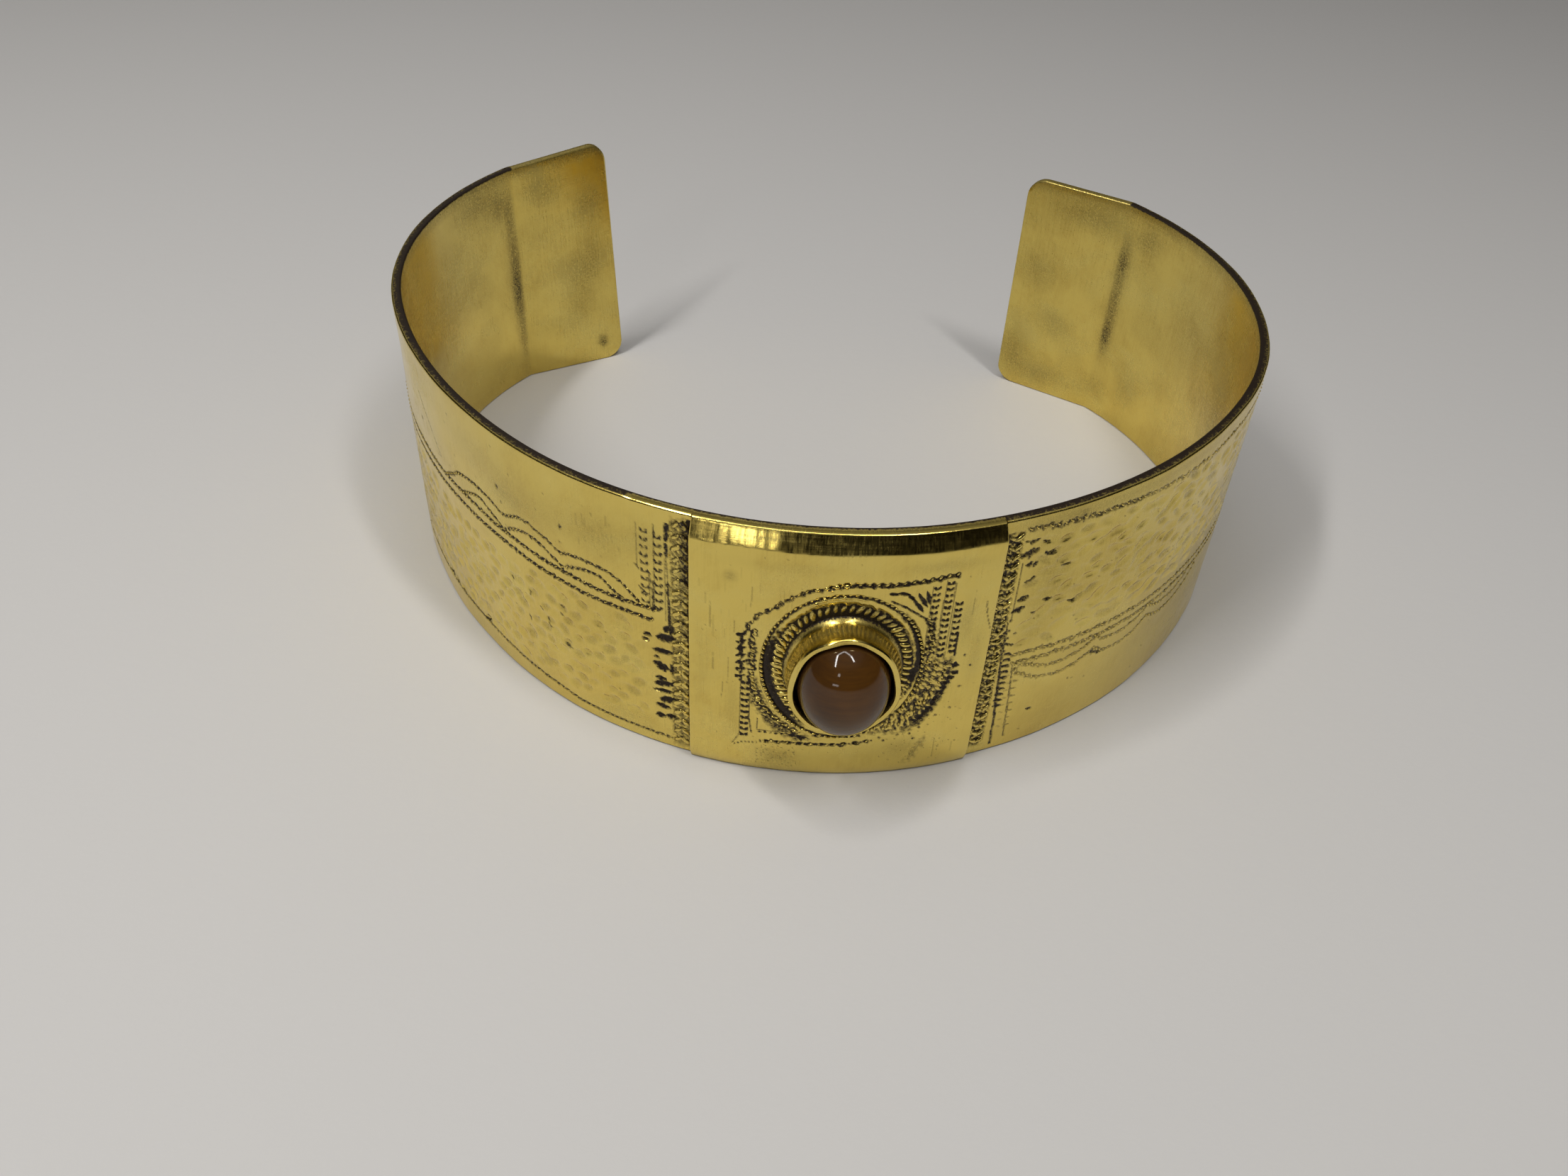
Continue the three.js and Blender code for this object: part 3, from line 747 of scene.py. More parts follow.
def brass_finish(name, looks, on_strip):
    """Polished brass with fine scratches, stains and tarnish that sits in the chased work. The tarnish colour
    also paints shade in some recesses, a shadow along the plaque's edges and a dark reflection on the rims.
    """
    material, graph = new_material(name)
    if on_strip:
        place = graph.node("ShaderNodeAttribute", {"attribute_name": "sheet"})["Vector"]
    else:
        place = graph.scaled(graph.node("ShaderNodeTexCoord")["Object"], (1 / MM,) * 3)
    tarnish = graph.node("ShaderNodeAttribute", {"attribute_name": "tarnish"})["Fac"]
    film = graph.noise(place, 0.11, 4.0, 0.6, 0.8)
    satin = graph.noise(graph.scaled(place, (0.17, 0.24, 0.2)), 1.0, 5.0, 0.62, 0.5)
    mottle = graph.noise(place, 0.8, 3.0, 0.6)
    crumbs = graph.noise(place, 7.0, 2.0, 0.7)
    upright = graph.noise(graph.scaled(place, (9.0, 0.45, 3.0)), 1.0, 3.0, 0.65)
    lengthwise = graph.noise(graph.scaled(place, (0.35, 8.0, 3.0)), 1.0, 3.0, 0.65)
    crossed = graph.noise(graph.scaled(graph.node(
        "ShaderNodeVectorRotate", {"rotation_type": "Z_AXIS"}, {"Vector": place, "Angle": 0.7},
    ), (7.0, 0.6, 3.0)), 1.0, 2.0, 0.6)
    stain = ((film - 0.42) * 2.4 + (mottle - 0.5) * 1.0 + (upright - 0.5) * 1.2
             + (crossed - 0.5) * 0.6).clamp()
    worn = ((satin - 0.47) * 4.0 + (upright - 0.5) * 1.0 + (lengthwise - 0.5) * 0.8).clamp()
    dark = (tarnish * 1.1 + tarnish * tarnish * (1.1 - tarnish) * (crumbs - 0.5) * 12.0).clamp()
    colour = graph.mix(stain * looks.stain_strength, (*looks.brass, 1), (*looks.stained_brass, 1))
    colour = graph.mix(worn * looks.wear, colour, (*looks.worn_brass, 1))
    colour = graph.mix(dark, colour, (*looks.tarnish, 1))
    roughness = (stain * 0.08 + worn * 0.1 + (upright - 0.5) * 0.22 + (lengthwise - 0.5) * 0.12 + dark * 0.3
                 + looks.roughness).clamp()
    grain = upright * 0.5 + lengthwise * 0.35 + crossed * 0.25 + crumbs * 0.3
    bump = graph.node("ShaderNodeBump", {}, {
        "Strength": 1.0, "Distance": looks.scratch_depth, "Height": grain + mottle * 1.5,
    })
    shader = graph.node("ShaderNodeBsdfPrincipled", {}, {
        "Base Color": colour, "Metallic": 1 - dark * 0.8, "Roughness": roughness, "Normal": bump,
        "Specular IOR Level": 0.25,
    })
    graph.node("ShaderNodeOutputMaterial", {}, {"Surface": shader})
    return material


def stone_finish(name, looks):
    """A polished brown cabochon with an amber heart and faint level fibres."""
    material, graph = new_material(name)
    place = graph.scaled(graph.node("ShaderNodeTexCoord")["Object"], (1 / MM,) * 3)
    low, high = (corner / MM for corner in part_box("stone"))
    middle = (low + high) / 2
    from_middle = graph.node("ShaderNodeVectorMath", {"operation": "SUBTRACT"}, {0: place, 1: middle})
    parts = graph.node("ShaderNodeSeparateXYZ", {}, {0: from_middle})
    fibres = graph.noise(graph.scaled(place, (0.35, 1.2, 5.0)), 1.0, 3.0, 0.6, 0.4)
    cloud = graph.noise(place, 0.35, 2.0, 0.5)
    heart = graph.node("ShaderNodeVectorMath", {"operation": "LENGTH"}, {0: graph.node(
        "ShaderNodeVectorMath", {"operation": "ADD"}, {0: from_middle, 1: (-0.5, 0.0, -0.6)})})["Value"]
    amber = (1.25 - heart * 0.42 + (cloud - 0.5) * 0.8 + (fibres - 0.5) * 0.5).clamp()
    sunk = (parts["Z"] * -0.3 + 0.15 + (cloud - 0.5) * 0.5).clamp()
    colour = graph.mix(amber, (*looks.stone, 1), (*looks.stone_heart, 1))
    colour = graph.mix(sunk * 0.8, colour, (*looks.stone_foot, 1))
    shader = graph.node("ShaderNodeBsdfPrincipled", {}, {
        "Base Color": colour, "Roughness": 0.07, "IOR": 1.5, "Specular IOR Level": 0.36,
    })
    graph.node("ShaderNodeOutputMaterial", {}, {"Surface": shader})
    return material


def paper_finish(name, colour):
    """Plain matt paper."""
    material, graph = new_material(name)
    place = graph.node("ShaderNodeTexCoord")["Object"]
    fibre = graph.noise(place, 900.0, 4.0, 0.6)
    bump = graph.node("ShaderNodeBump", {}, {"Strength": 0.35, "Distance": 0.0001, "Height": fibre})
    shader = graph.node("ShaderNodeBsdfPrincipled", {}, {
        "Base Color": (*colour, 1), "Roughness": 0.85, "Specular IOR Level": 0.25, "Normal": bump,
    })
    graph.node("ShaderNodeOutputMaterial", {}, {"Surface": shader})
    return material


def finish(name, looks, kind):
    """A material by name, made once."""
    found = bpy.data.materials.get(name)
    if found:
        return found
    return stone_finish(name, looks) if kind == "stone" else brass_finish(name, looks, kind == "strip")


def link(name, mesh):
    piece = bpy.data.objects.new(name, mesh)
    bpy.context.scene.collection.objects.link(piece)
    return piece


def closed_skin(name, rings, sheet=None, tarnish=None, sharp=55.0):
    """A closed mesh over a row of rings, with a flat face over each end."""
    count, corners = rings.shape[:2]
    ring = np.arange(count - 1)[:, None] * corners
    i = np.arange(corners)[None, :]
    after = (i + 1) % corners
    quads = np.stack([ring + i, ring + after, ring + corners + after, ring + corners + i], -1)
    quads = quads.reshape(-1, 4)
    last = (count - 1) * corners
    faces = quads.tolist() + [list(range(corners))[::-1], list(range(last, last + corners))]
    points = rings.reshape(-1, 3)
    a, b, c, d = (points[quads[:, k]] for k in range(4))
    volume = (np.cross(a, b) * c).sum() + (np.cross(a, c) * d).sum()
    for end in (faces[-2], faces[-1]):
        ring_points = points[end]
        volume += (np.cross(ring_points[0], ring_points[1:-1]) * ring_points[2:]).sum()
    if volume < 0:
        faces = [face[::-1] for face in faces]
    mesh = bpy.data.meshes.new(name)
    mesh.from_pydata(points, [], faces)
    mesh.shade_smooth()
    mesh.set_sharp_from_angle(angle=math.radians(sharp))
    if sheet is not None:
        mesh.attributes.new("sheet", "FLOAT_VECTOR", "POINT").data.foreach_set("vector", sheet.ravel())
    # Darkness per point: tarnish, with painted shade and a painted dark reflection where a piece has them.
    stain = np.zeros(len(points)) if tarnish is None else tarnish.ravel()
    mesh.attributes.new("tarnish", "FLOAT", "POINT").data.foreach_set("value", stain)
    mesh.validate()
    return link(name, mesh)


def declare(piece, node):
    """Tells the frame what a finished piece rides on and replaces."""
    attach(piece, "root")
    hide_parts(node)


RIM_STEPS = np.radians([22.5, 45, 67.5, 90])
INNER_ROWS = 40
# How far below its top and above its foot the plaque's face ends, and its foot rim's radius.
PLAQUE_EDGE = 0.13
PLAQUE_FOOT_RIM = 0.12
# The rim left of the plaque is worn round and bright as far as this run.
WORN_RIM_END = -13.9

# Soft stains on the inner faces: run, height, how far they reach along and up, and strength.
INNER_STAINS = (
    (-68.7, 11.2, 0.7, 3.6, 0.5), (-68.7, 8.8, 0.6, 2.2, 0.4), (-68.9, 5.0, 0.6, 3.0, 0.3),
    (-68.5, 16.5, 0.6, 2.2, 0.3), (-72.5, 17.8, 1.8, 1.6, 0.2), (-76.9, 15.8, 1.3, 1.8, 0.22),
    (-75.4, 9.5, 1.5, 2.4, 0.14), (-77.0, 10.6, 1.2, 2.4, 0.18), (-75.2, 6.2, 1.4, 1.8, 0.15),
    (-77.2, 1.9, 0.42, 0.45, 0.85), (-67.2, 17.6, 1.0, 1.5, 0.28), (-64.5, 18.8, 3.4, 1.3, 0.26),
    (-58.0, 12.5, 4.5, 4.0, 0.16), (-47.0, 10.0, 5.0, 7.0, 0.24), (-42.0, 9.0, 4.0, 6.0, 0.2),
    (66.3, 15.4, 0.7, 1.8, 0.45), (66.3, 11.0, 0.65, 2.6, 0.34), (66.4, 7.9, 0.65, 1.6, 0.55),
    (66.4, 12.9, 0.8, 5.0, 0.2), (64.0, 18.1, 1.4, 1.5, 0.28), (70.6, 18.6, 3.4, 1.2, 0.26),
    (74.4, 12.6, 1.6, 2.0, 0.15), (75.4, 3.6, 1.5, 2.4, 0.26), (72.0, 1.9, 2.1, 1.2, 0.26),
    (71.6, 7.6, 1.3, 1.2, 0.16), (66.6, 2.6, 1.5, 1.3, 0.2), (62.5, 4.0, 1.3, 1.4, 0.16),
    (56.0, 13.0, 4.0, 4.5, 0.12), (47.5, 11.0, 3.6, 7.0, 0.26), (42.0, 8.0, 4.5, 6.5, 0.22),
)


def inner_stain(run, heights):
    """How tarnished the strip's inner face is, up one of its sections."""
    cloud = 0.06 * np.clip(waves(run, heights, 7.0, 90), 0, 1)
    under_rim = 0.25 * np.clip((heights - 19.3) / 1.0, 0, 1)
    stain = 0.05 + cloud + under_rim
    for s0, z0, along, upward, strength in INNER_STAINS:
        bump = np.exp(-(((run - s0) / along) ** 2) - ((heights - z0) / upward) ** 2)
        stain = 1 - (1 - stain) * (1 - strength * bump)
    return stain


def strip_rings(relief, rim_tarnish_and_dark_reflection, sizes, tip=None, plaque=None):
    """Rings of the sheet's section over a relief: outer face, top rim, inner face, foot rim."""
    thickness, rim = sizes.thickness / MM, sizes.rim_radius / MM
    runs, heights = relief.runs, relief.heights
    outs, ups, marks, stains = [], [], [], []
    for k, run in enumerate(runs):
        inset, nip = tip(run) if tip else (0.0, 0.0)
        foot, top = inset, STRIP_HEIGHT - inset
        share = (heights - heights[0]) / (heights[-1] - heights[0])
        edge = PLAQUE_EDGE if plaque else rim
        up = foot + edge + share * (top - foot - 2 * edge)
        out = relief.rise[k] - nip
        worn = 1.0 if plaque else float(np.clip((run - WORN_RIM_END) / 0.5, 0, 1)) * (run < 0)
        edge_out, edge_up = rim + 0.2 * worn, (PLAQUE_FOOT_RIM if plaque else rim)
        if plaque:
            out = out + plaque(run, up)
        back = -thickness + nip
        arc_out, arc_up = np.cos(RIM_STEPS), np.sin(RIM_STEPS)
        level = np.linspace(top - rim, foot + rim, INNER_ROWS)
        column_out = [
            out,
            out[-1] - edge_out + edge_out * arc_out,
            (back + rim - rim * arc_out)[::-1],
            np.full(INNER_ROWS, back),
            back + rim - rim * arc_out,
            (out[0] - edge_up + edge_up * arc_out)[::-1],
        ]
        column_up = [
            up,
            top - edge_up + edge_up * arc_up,
            (top - rim + rim * arc_up)[::-1],
            level,
            foot + rim - rim * arc_up,
            (foot + edge_up - edge_up * arc_up)[::-1],
        ]
        outs.append(np.concatenate(column_out))
        ups.append(np.concatenate(column_up))
        # The top rim is painted dark: tarnish with a painted dark reflection. The rounded outer edge is
        # cleaner, the more so where the rim is worn, and the foot rim gets six tenths of it.
        rims = np.array([0, 0, 0.1 - 0.1 * worn, 0.8 - 0.7 * worn, 1, 1, 1, 0.8]) * rim_tarnish_and_dark_reflection(run)
        stains.append(np.concatenate([relief.tarnish[k], rims, inner_stain(run, level), rims * 0.6]))
    outs, ups, stains = np.array(outs), np.array(ups), np.array(stains)
    rings = on_sheet(runs[:, None], ups, outs)
    sheet = np.stack([np.broadcast_to(runs[:, None], ups.shape), ups, outs], -1)
    return rings, sheet, stains


def graded(*spans):
    """Values from spans of (start, end, step), each span evenly divided."""
    values = [np.linspace(a, b, max(2, int(round(abs(b - a) / step))) + 1)[:-1] for a, b, step in spans]
    return np.concatenate(values + [[spans[-1][1]]])


def make_arm(side, sizes, looks):
    """One arm of the strip, from the plaque's edge to its tip."""
    arm = ARMS[side]
    crease = arm.starts[-1]
    runs = graded((PLAQUE_HALF, 14, 0.09), (14, 33, 0.12), (33, 50, 0.22), (50, crease - 2, 0.6),
                  (crease - 2, crease + 3, 0.25), (crease + 3, arm.tip - CORNER_RADIUS, 0.4))
    angles = np.radians(np.arange(6, 91, 6))
    tip_runs = arm.tip - CORNER_RADIUS * (1 - np.sin(angles))
    runs = np.concatenate([runs, tip_runs])
    rim = sizes.rim_radius / MM
    heights = np.linspace(rim, STRIP_HEIGHT - rim, ARM_ROWS)
    relief = Relief(side * runs if side > 0 else (-runs)[::-1], heights, 40 + side)
    (chase_right if side > 0 else chase_left)(relief)
    away = np.abs(relief.runs[:, None])
    fade = np.clip((arm.tip - 2 - away) / 3, 0, 1)
    set_back = 0.04 * np.clip((away - 22) / 8, 0, 1)
    relief.rise = np.clip(relief.rise * fade, -0.3, 0.05) - set_back

    def tip(run):
        way = abs(run) - (arm.tip - CORNER_RADIUS)
        inset = CORNER_RADIUS * (1 - math.sqrt(max(0.0, 1 - (max(way, 0) / CORNER_RADIUS) ** 2)))
        end = max(0.0, abs(run) - (arm.tip - rim)) / rim
        return inset, rim * (1 - math.sqrt(max(0.0, 1 - end**2)))

    # The top rim's painted darkness, tarnish with a painted dark reflection: a little darker away from the
    # plaque and lighter past the crease.
    def rim_tarnish_and_dark_reflection(run):
        start = 13.6 if run < 0 else 9.5
        darker = 1.0 + 0.08 * min(1.0, max(0.0, abs(run) - start))
        return darker * (1 if abs(run) < crease else 0.4)

    rings, sheet, stains = strip_rings(relief, rim_tarnish_and_dark_reflection, sizes, tip)
    piece = closed_skin("arm_left" if side < 0 else "arm_right", rings, sheet, stains)
    piece.data.materials.append(finish("sheet_brass", looks, "strip"))
    return piece


def plaque_profile(run, up, sizes):
    """How far the plaque's face stands out of the strip, from its foot to its top bevel."""
    proud, foot = sizes.plaque_proud / MM, sizes.plaque_foot / MM
    share = np.clip(up / FOOT_ROLL, 0, 1)
    out = foot + (proud - foot) * np.sqrt(np.clip(1 - (1 - share) ** 2, 0, 1))
    start = BEVEL_FOOT + 0.04 * math.sin(run * 0.9) + 0.01 * run
    depth = STRIP_HEIGHT - start
    bow = (proud - BEVEL_SLOPE * depth) / depth**2
    past = 0.5 * (up - start + np.sqrt((up - start) ** 2 + BEVEL_SOFT**2))
    drop = BEVEL_SLOPE * past + bow * past**2
    end = max(0.0, abs(run) - (PLAQUE_HALF - PLAQUE_END_RADIUS)) / PLAQUE_END_RADIUS
    return np.minimum(out, proud - drop) - PLAQUE_END_RADIUS * (1 - math.sqrt(max(0.0, 1 - end**2)))


def make_front(sizes, looks):
    """The strip's middle and the plaque that is soldered over it."""
    edge = 9.38
    runs = graded((-PLAQUE_HALF, -edge, 0.03), (-edge, -7.8, 0.1), (-7.8, 7.9, 0.068), (7.9, edge, 0.1),
                  (edge, PLAQUE_HALF, 0.03))
    heights = graded((0.06, 2.2, 0.1), (2.2, 17.9, 0.068), (17.9, STRIP_HEIGHT - 0.06, 0.085))
    relief = Relief(runs, heights, 77)
    chase_plaque(relief)
    relief.rise = np.clip(relief.rise, -0.26, 0.03)
    # The plaque's top rim is painted dark too: tarnish with a painted dark reflection.
    rings, sheet, stains = strip_rings(relief, lambda run: 1.06, sizes,
                                       plaque=lambda run, up: plaque_profile(run, up, sizes))
    piece = closed_skin("front", rings, sheet, stains)
    piece.data.materials.append(finish("sheet_brass", looks, "strip"))
    return piece


def oval_rings(levels, around):
    """Rings stacked out of the plaque: each level has half axes and an out for every bearing."""
    angles = np.linspace(0, math.tau, around, endpoint=False)
    rings = []
    for across, upright, out in levels:
        x = STONE_ASIDE + across * np.cos(angles)
        z = STONE_MIDDLE + upright * np.sin(angles)
        rings.append(np.stack([x, np.broadcast_to(-out, x.shape), z], -1))
    return np.array(rings) * MM + sheet_origin()


def make_collar(sizes, looks):
    """The stone's collar: a thin wall bent round it by hand, burnished at its lip."""
    angles = np.linspace(0, math.tau, COLLAR_SIDES, endpoint=False)
    wobble = 0.03 * waves(3 * np.cos(angles), 3 * np.sin(angles), 3.2, 5)
    lip_wave = 0.05 * waves(3 * np.cos(angles), 3 * np.sin(angles), 2.6, 6)
    wall = sizes.collar_wall / MM
    inner = sizes.stone_gap / MM
    outer = inner + wall
    lip = (sizes.plaque_proud + sizes.collar_height) / MM
    base = sizes.plaque_proud / MM
    # Each level's distance from the stone and height, its shares of the wobble and of the lip's
    # wave, and its darkness: painted shade at the foot and down the inner wall beside the stone,
    # a little tarnish elsewhere.
    profile = [
        (outer + 0.3, -0.3, 0, 0, 1.0), (outer + 0.3, base - 0.12, 0, 0, 1.0),
        (outer + 0.26, base - 0.04, 0.3, 0, 0.9), (outer + 0.18, base + 0.06, 0.4, 0, 0.4),
        (outer + 0.11, base + 0.19, 0.5, 0, 0.05),
        (outer + 0.055, base + 0.32, 0.5, 0, 0), (outer + 0.02, base + 0.47, 0.6, 0, 0.05),
        (outer, base + 0.66, 0.7, 0, 0.1), (outer, base + 1.0, 0.8, 0, 0.1),
        (outer - 0.01, lip - 0.42, 1, 0.6, 0), (outer, lip - 0.2, 1, 1, 0),
        (outer - 0.02, lip - 0.1, 1, 1, 0), (outer - 0.07, lip - 0.05, 1, 1, 0),
        (inner - 0.01, lip - 0.05, 1.4, 1, 0), (inner - 0.06, lip - 0.11, 1.8, 1, 0.1),
        (inner - 0.05, lip - 0.22, 1.6, 1, 0.5),
        (inner, lip - 0.6, 0.8, 0.5, 0.95), (inner, base + 0.13, 0, 0, 1.0),
    ]
    across, upright = STONE_HALF
    levels = [(across + grow + share * wobble, upright + grow + share * wobble, out + rise * lip_wave)
              for grow, out, share, rise, _ in profile]
    rings = oval_rings(levels, COLLAR_SIDES)
    # Darkness per level, with the painted shade at the foot and on the inner wall.
    stains = np.repeat([[stain] for *_, stain in profile], COLLAR_SIDES, axis=1)
    piece = closed_skin("collar", rings, None, stains, sharp=40.0)
    piece.data.materials.append(finish("collar_brass", looks, "collar"))
    return piece


def make_stone(looks):
    """The oval cabochon: a short upright girdle under a smooth dome."""
    base, girdle, dome, foot_bevel = 0.97, 0.9, 2.6, 0.2
    across, upright = STONE_HALF
    levels = [(across - foot_bevel, upright - foot_bevel, base), (across, upright, base + foot_bevel),
              (across, upright, base + girdle)]
    for angle in np.radians(np.concatenate([np.arange(3, 87, 3), [87.5, 89.2]])):
        share = math.cos(angle) ** 0.96
        levels.append((across * share, upright * share, base + girdle + dome * math.sin(angle)))
    rings = oval_rings(levels, STONE_SIDES)
    piece = closed_skin("cabochon", rings, sharp=75.0)
    piece.data.materials.append(finish("brown_stone", looks, "stone"))
    return piece


def bead_tree():
    """Geometry Nodes that set a row of slanted beads along lines lying on the sheet."""
    tree = bpy.data.node_groups.new("bead row", "GeometryNodeTree")
    tree.is_modifier = True
    sockets = (("Lines", "Geometry"), ("Spacing", "Float"), ("Bead size", "Vector"), ("Slant", "Float"),
               ("Unevenness", "Float"), ("Raggedness", "Float"), ("Fineness", "Int"), ("Seed", "Int"),
               ("Finish", "Material"))
    for name, kind in sockets:
        tree.interface.new_socket(name=name, in_out="INPUT", socket_type="NodeSocket" + kind)
    tree.interface.new_socket(name="Beads", in_out="OUTPUT", socket_type="NodeSocketGeometry")
    graph = Graph(tree)
    given = graph.node("NodeGroupInput")
    curve = graph.node("GeometryNodeMeshToCurve", {}, {"Mesh": given["Lines"]})
    points = graph.node("GeometryNodeCurveToPoints", {"mode": "LENGTH"},
                        {"Curve": curve, "Length": given["Spacing"]})
    upright = graph.node("FunctionNodeAlignRotationToVector", {"axis": "Z"},
                         {"Vector": graph.attribute("out", "FLOAT_VECTOR")})
    aimed = graph.node("FunctionNodeAlignRotationToVector", {"axis": "X", "pivot_axis": "Z"},
                       {"Rotation": upright, "Vector": points["Tangent"]})
    turn = given["Slant"] * graph.attribute("hand") + graph.uneven(given["Seed"]) * given["Unevenness"]
    twist = graph.node("FunctionNodeAxisAngleToRotation", {}, {"Axis": (0.0, 0.0, 1.0), "Angle": turn})
    rotation = graph.node("FunctionNodeRotateRotation", {"rotation_space": "LOCAL"},
                          {"Rotation": aimed, "Rotate By": twist})
    growth = graph.uneven(given["Seed"] + 7) * given["Unevenness"] + 1
    scale = graph.node("ShaderNodeVectorMath", {"operation": "SCALE"},
                       {0: given["Bead size"], "Scale": growth})
    ball = graph.node("GeometryNodeMeshUVSphere", {}, {
        "Segments": given["Fineness"] * 4, "Rings": given["Fineness"] * 3, "Radius": 0.5})
    height = graph.node("ShaderNodeSeparateXYZ", {}, {0: graph.node("GeometryNodeInputPosition")})["Z"]
    ball = graph.node("GeometryNodeSetShadeSmooth", {}, {"Geometry": graph.stored(ball, "level", height)})
    beads = graph.node("GeometryNodeInstanceOnPoints", {},
                       {"Points": points, "Instance": ball, "Rotation": rotation, "Scale": scale})
    real = graph.node("GeometryNodeRealizeInstances", {}, {"Geometry": beads})
    place = graph.node("GeometryNodeInputPosition")
    ragged = graph.noise(place, 4200.0, 2.0, 0.6) - 0.5
    shift = graph.node("ShaderNodeVectorMath", {"operation": "SCALE"},
                       {0: graph.node("GeometryNodeInputNormal"), "Scale": ragged * given["Raggedness"]})
    real = graph.node("GeometryNodeSetPosition", {}, {"Geometry": real, "Offset": shift})
    # A bead is cleaner towards its top, and its pits are as dark as it is ragged.
    stain = graph.attribute("stain") - graph.attribute("level") * 2.2
    pits = graph.noise(place, 7000.0, 2.0, 0.6) - 0.5
    tarnish = (stain + pits * given["Raggedness"] * (1.2 / (0.1 * MM))).clamp()
    done = graph.node("GeometryNodeSetMaterial", {}, {
        "Geometry": graph.stored(real, "tarnish", tarnish), "Material": given["Finish"]})
    graph.node("NodeGroupOutput", {}, {"Beads": done})
    return tree


BEAD_STAIN = 0.62


def make_beads(name, lines, level, looks, stain_of=lambda run, height: BEAD_STAIN, **settings):
    """A piece of beads along charted lines. Each line has its points and the hand it slants to.

    Settings are the bead row's inputs in small letters, with lengths in mm.
    """
    points, edges, outs, hands, stains = [], [], [], [], []
    for line, hand in lines:
        start = len(points)
        points += on_sheet(line[:, 0], line[:, 1], level).tolist()
        outs += outward(line[:, 0]).tolist()
        hands += [hand] * len(line)
        stains += [stain_of(run, height) for run, height in line]
        edges += [(i, i + 1) for i in range(start, start + len(line) - 1)]
    mesh = bpy.data.meshes.new(name)
    mesh.from_pydata(points, edges, [])
    mesh.attributes.new("out", "FLOAT_VECTOR", "POINT").data.foreach_set("vector", np.ravel(outs))
    mesh.attributes.new("hand", "FLOAT", "POINT").data.foreach_set("value", hands)
    mesh.attributes.new("stain", "FLOAT", "POINT").data.foreach_set("value", stains)
    piece = link(name, mesh)
    tree = bpy.data.node_groups.get("bead row") or bead_tree()
    modifier = piece.modifiers.new("beads", "NODES")
    modifier.node_group = tree
    settings = {"unevenness": 0.12, "raggedness": 0.03, "fineness": 2, "seed": 3, **settings}
    settings["spacing"] *= MM
    settings["raggedness"] *= MM
    settings["bead_size"] = mm(*settings["bead_size"])
    values = {key.replace("_", " ").capitalize(): value for key, value in settings.items()}
    values["Finish"] = finish("bead_brass", looks, "beads")
    for item in tree.interface.items_tree:
        if item.in_out == "INPUT" and item.name in values:
            modifier[item.identifier] = values[item.name]
    graph = bpy.context.evaluated_depsgraph_get()
    solid = bpy.data.meshes.new_from_object(piece.evaluated_get(graph), preserve_all_data_layers=True,
                                            depsgraph=graph)
    piece.modifiers.clear()
    piece.data = solid
    solid.name = name
    return piece


def mm(*values):
    return tuple(value * MM for value in values)


def rows(points_list, hand=1):
    return [(smooth_line(points), hand) for points in points_list]


def braid_lines(left, right, top, foot):
    """The two rows of leaves of a braid, which slant to opposite hands."""
    heights = np.linspace(top, foot, BRAID_POINTS)
    return [(np.stack([np.full(BRAID_POINTS, run), heights], 1), hand)
            for run, hand in ((left, 1), (right, -1))]


class BraceletSizes(bpy.types.PropertyGroup):
    """Sizes of the brass that a user may change."""

    thickness: FloatProperty(name="Sheet thickness", description="Thickness of the strip's sheet brass",
                             default=0.75 * MM, unit="LENGTH", precision=5)
    rim_radius: FloatProperty(name="Rim radius", description="How round the strip's rims are worn",
                              default=0.16 * MM, unit="LENGTH", precision=5)
    plaque_proud: FloatProperty(name="Plaque height",
                                description="How far the plaque stands out of the strip",
                                default=0.55 * MM, unit="LENGTH", precision=5)
    plaque_foot: FloatProperty(name="Plaque foot", description="How far the plaque stands out at its foot",
                               default=0.12 * MM, unit="LENGTH", precision=5)
    collar_wall: FloatProperty(name="Collar wall", description="Thickness of the stone's collar",
                               default=0.32 * MM, unit="LENGTH", precision=5)
    collar_height: FloatProperty(name="Collar height", description="Height of the collar over the plaque",
                                 default=1.85 * MM, unit="LENGTH", precision=5)
    stone_gap: FloatProperty(name="Gap round the stone", description="Room between the stone and its collar",
                             default=0.27 * MM, unit="LENGTH", precision=5)


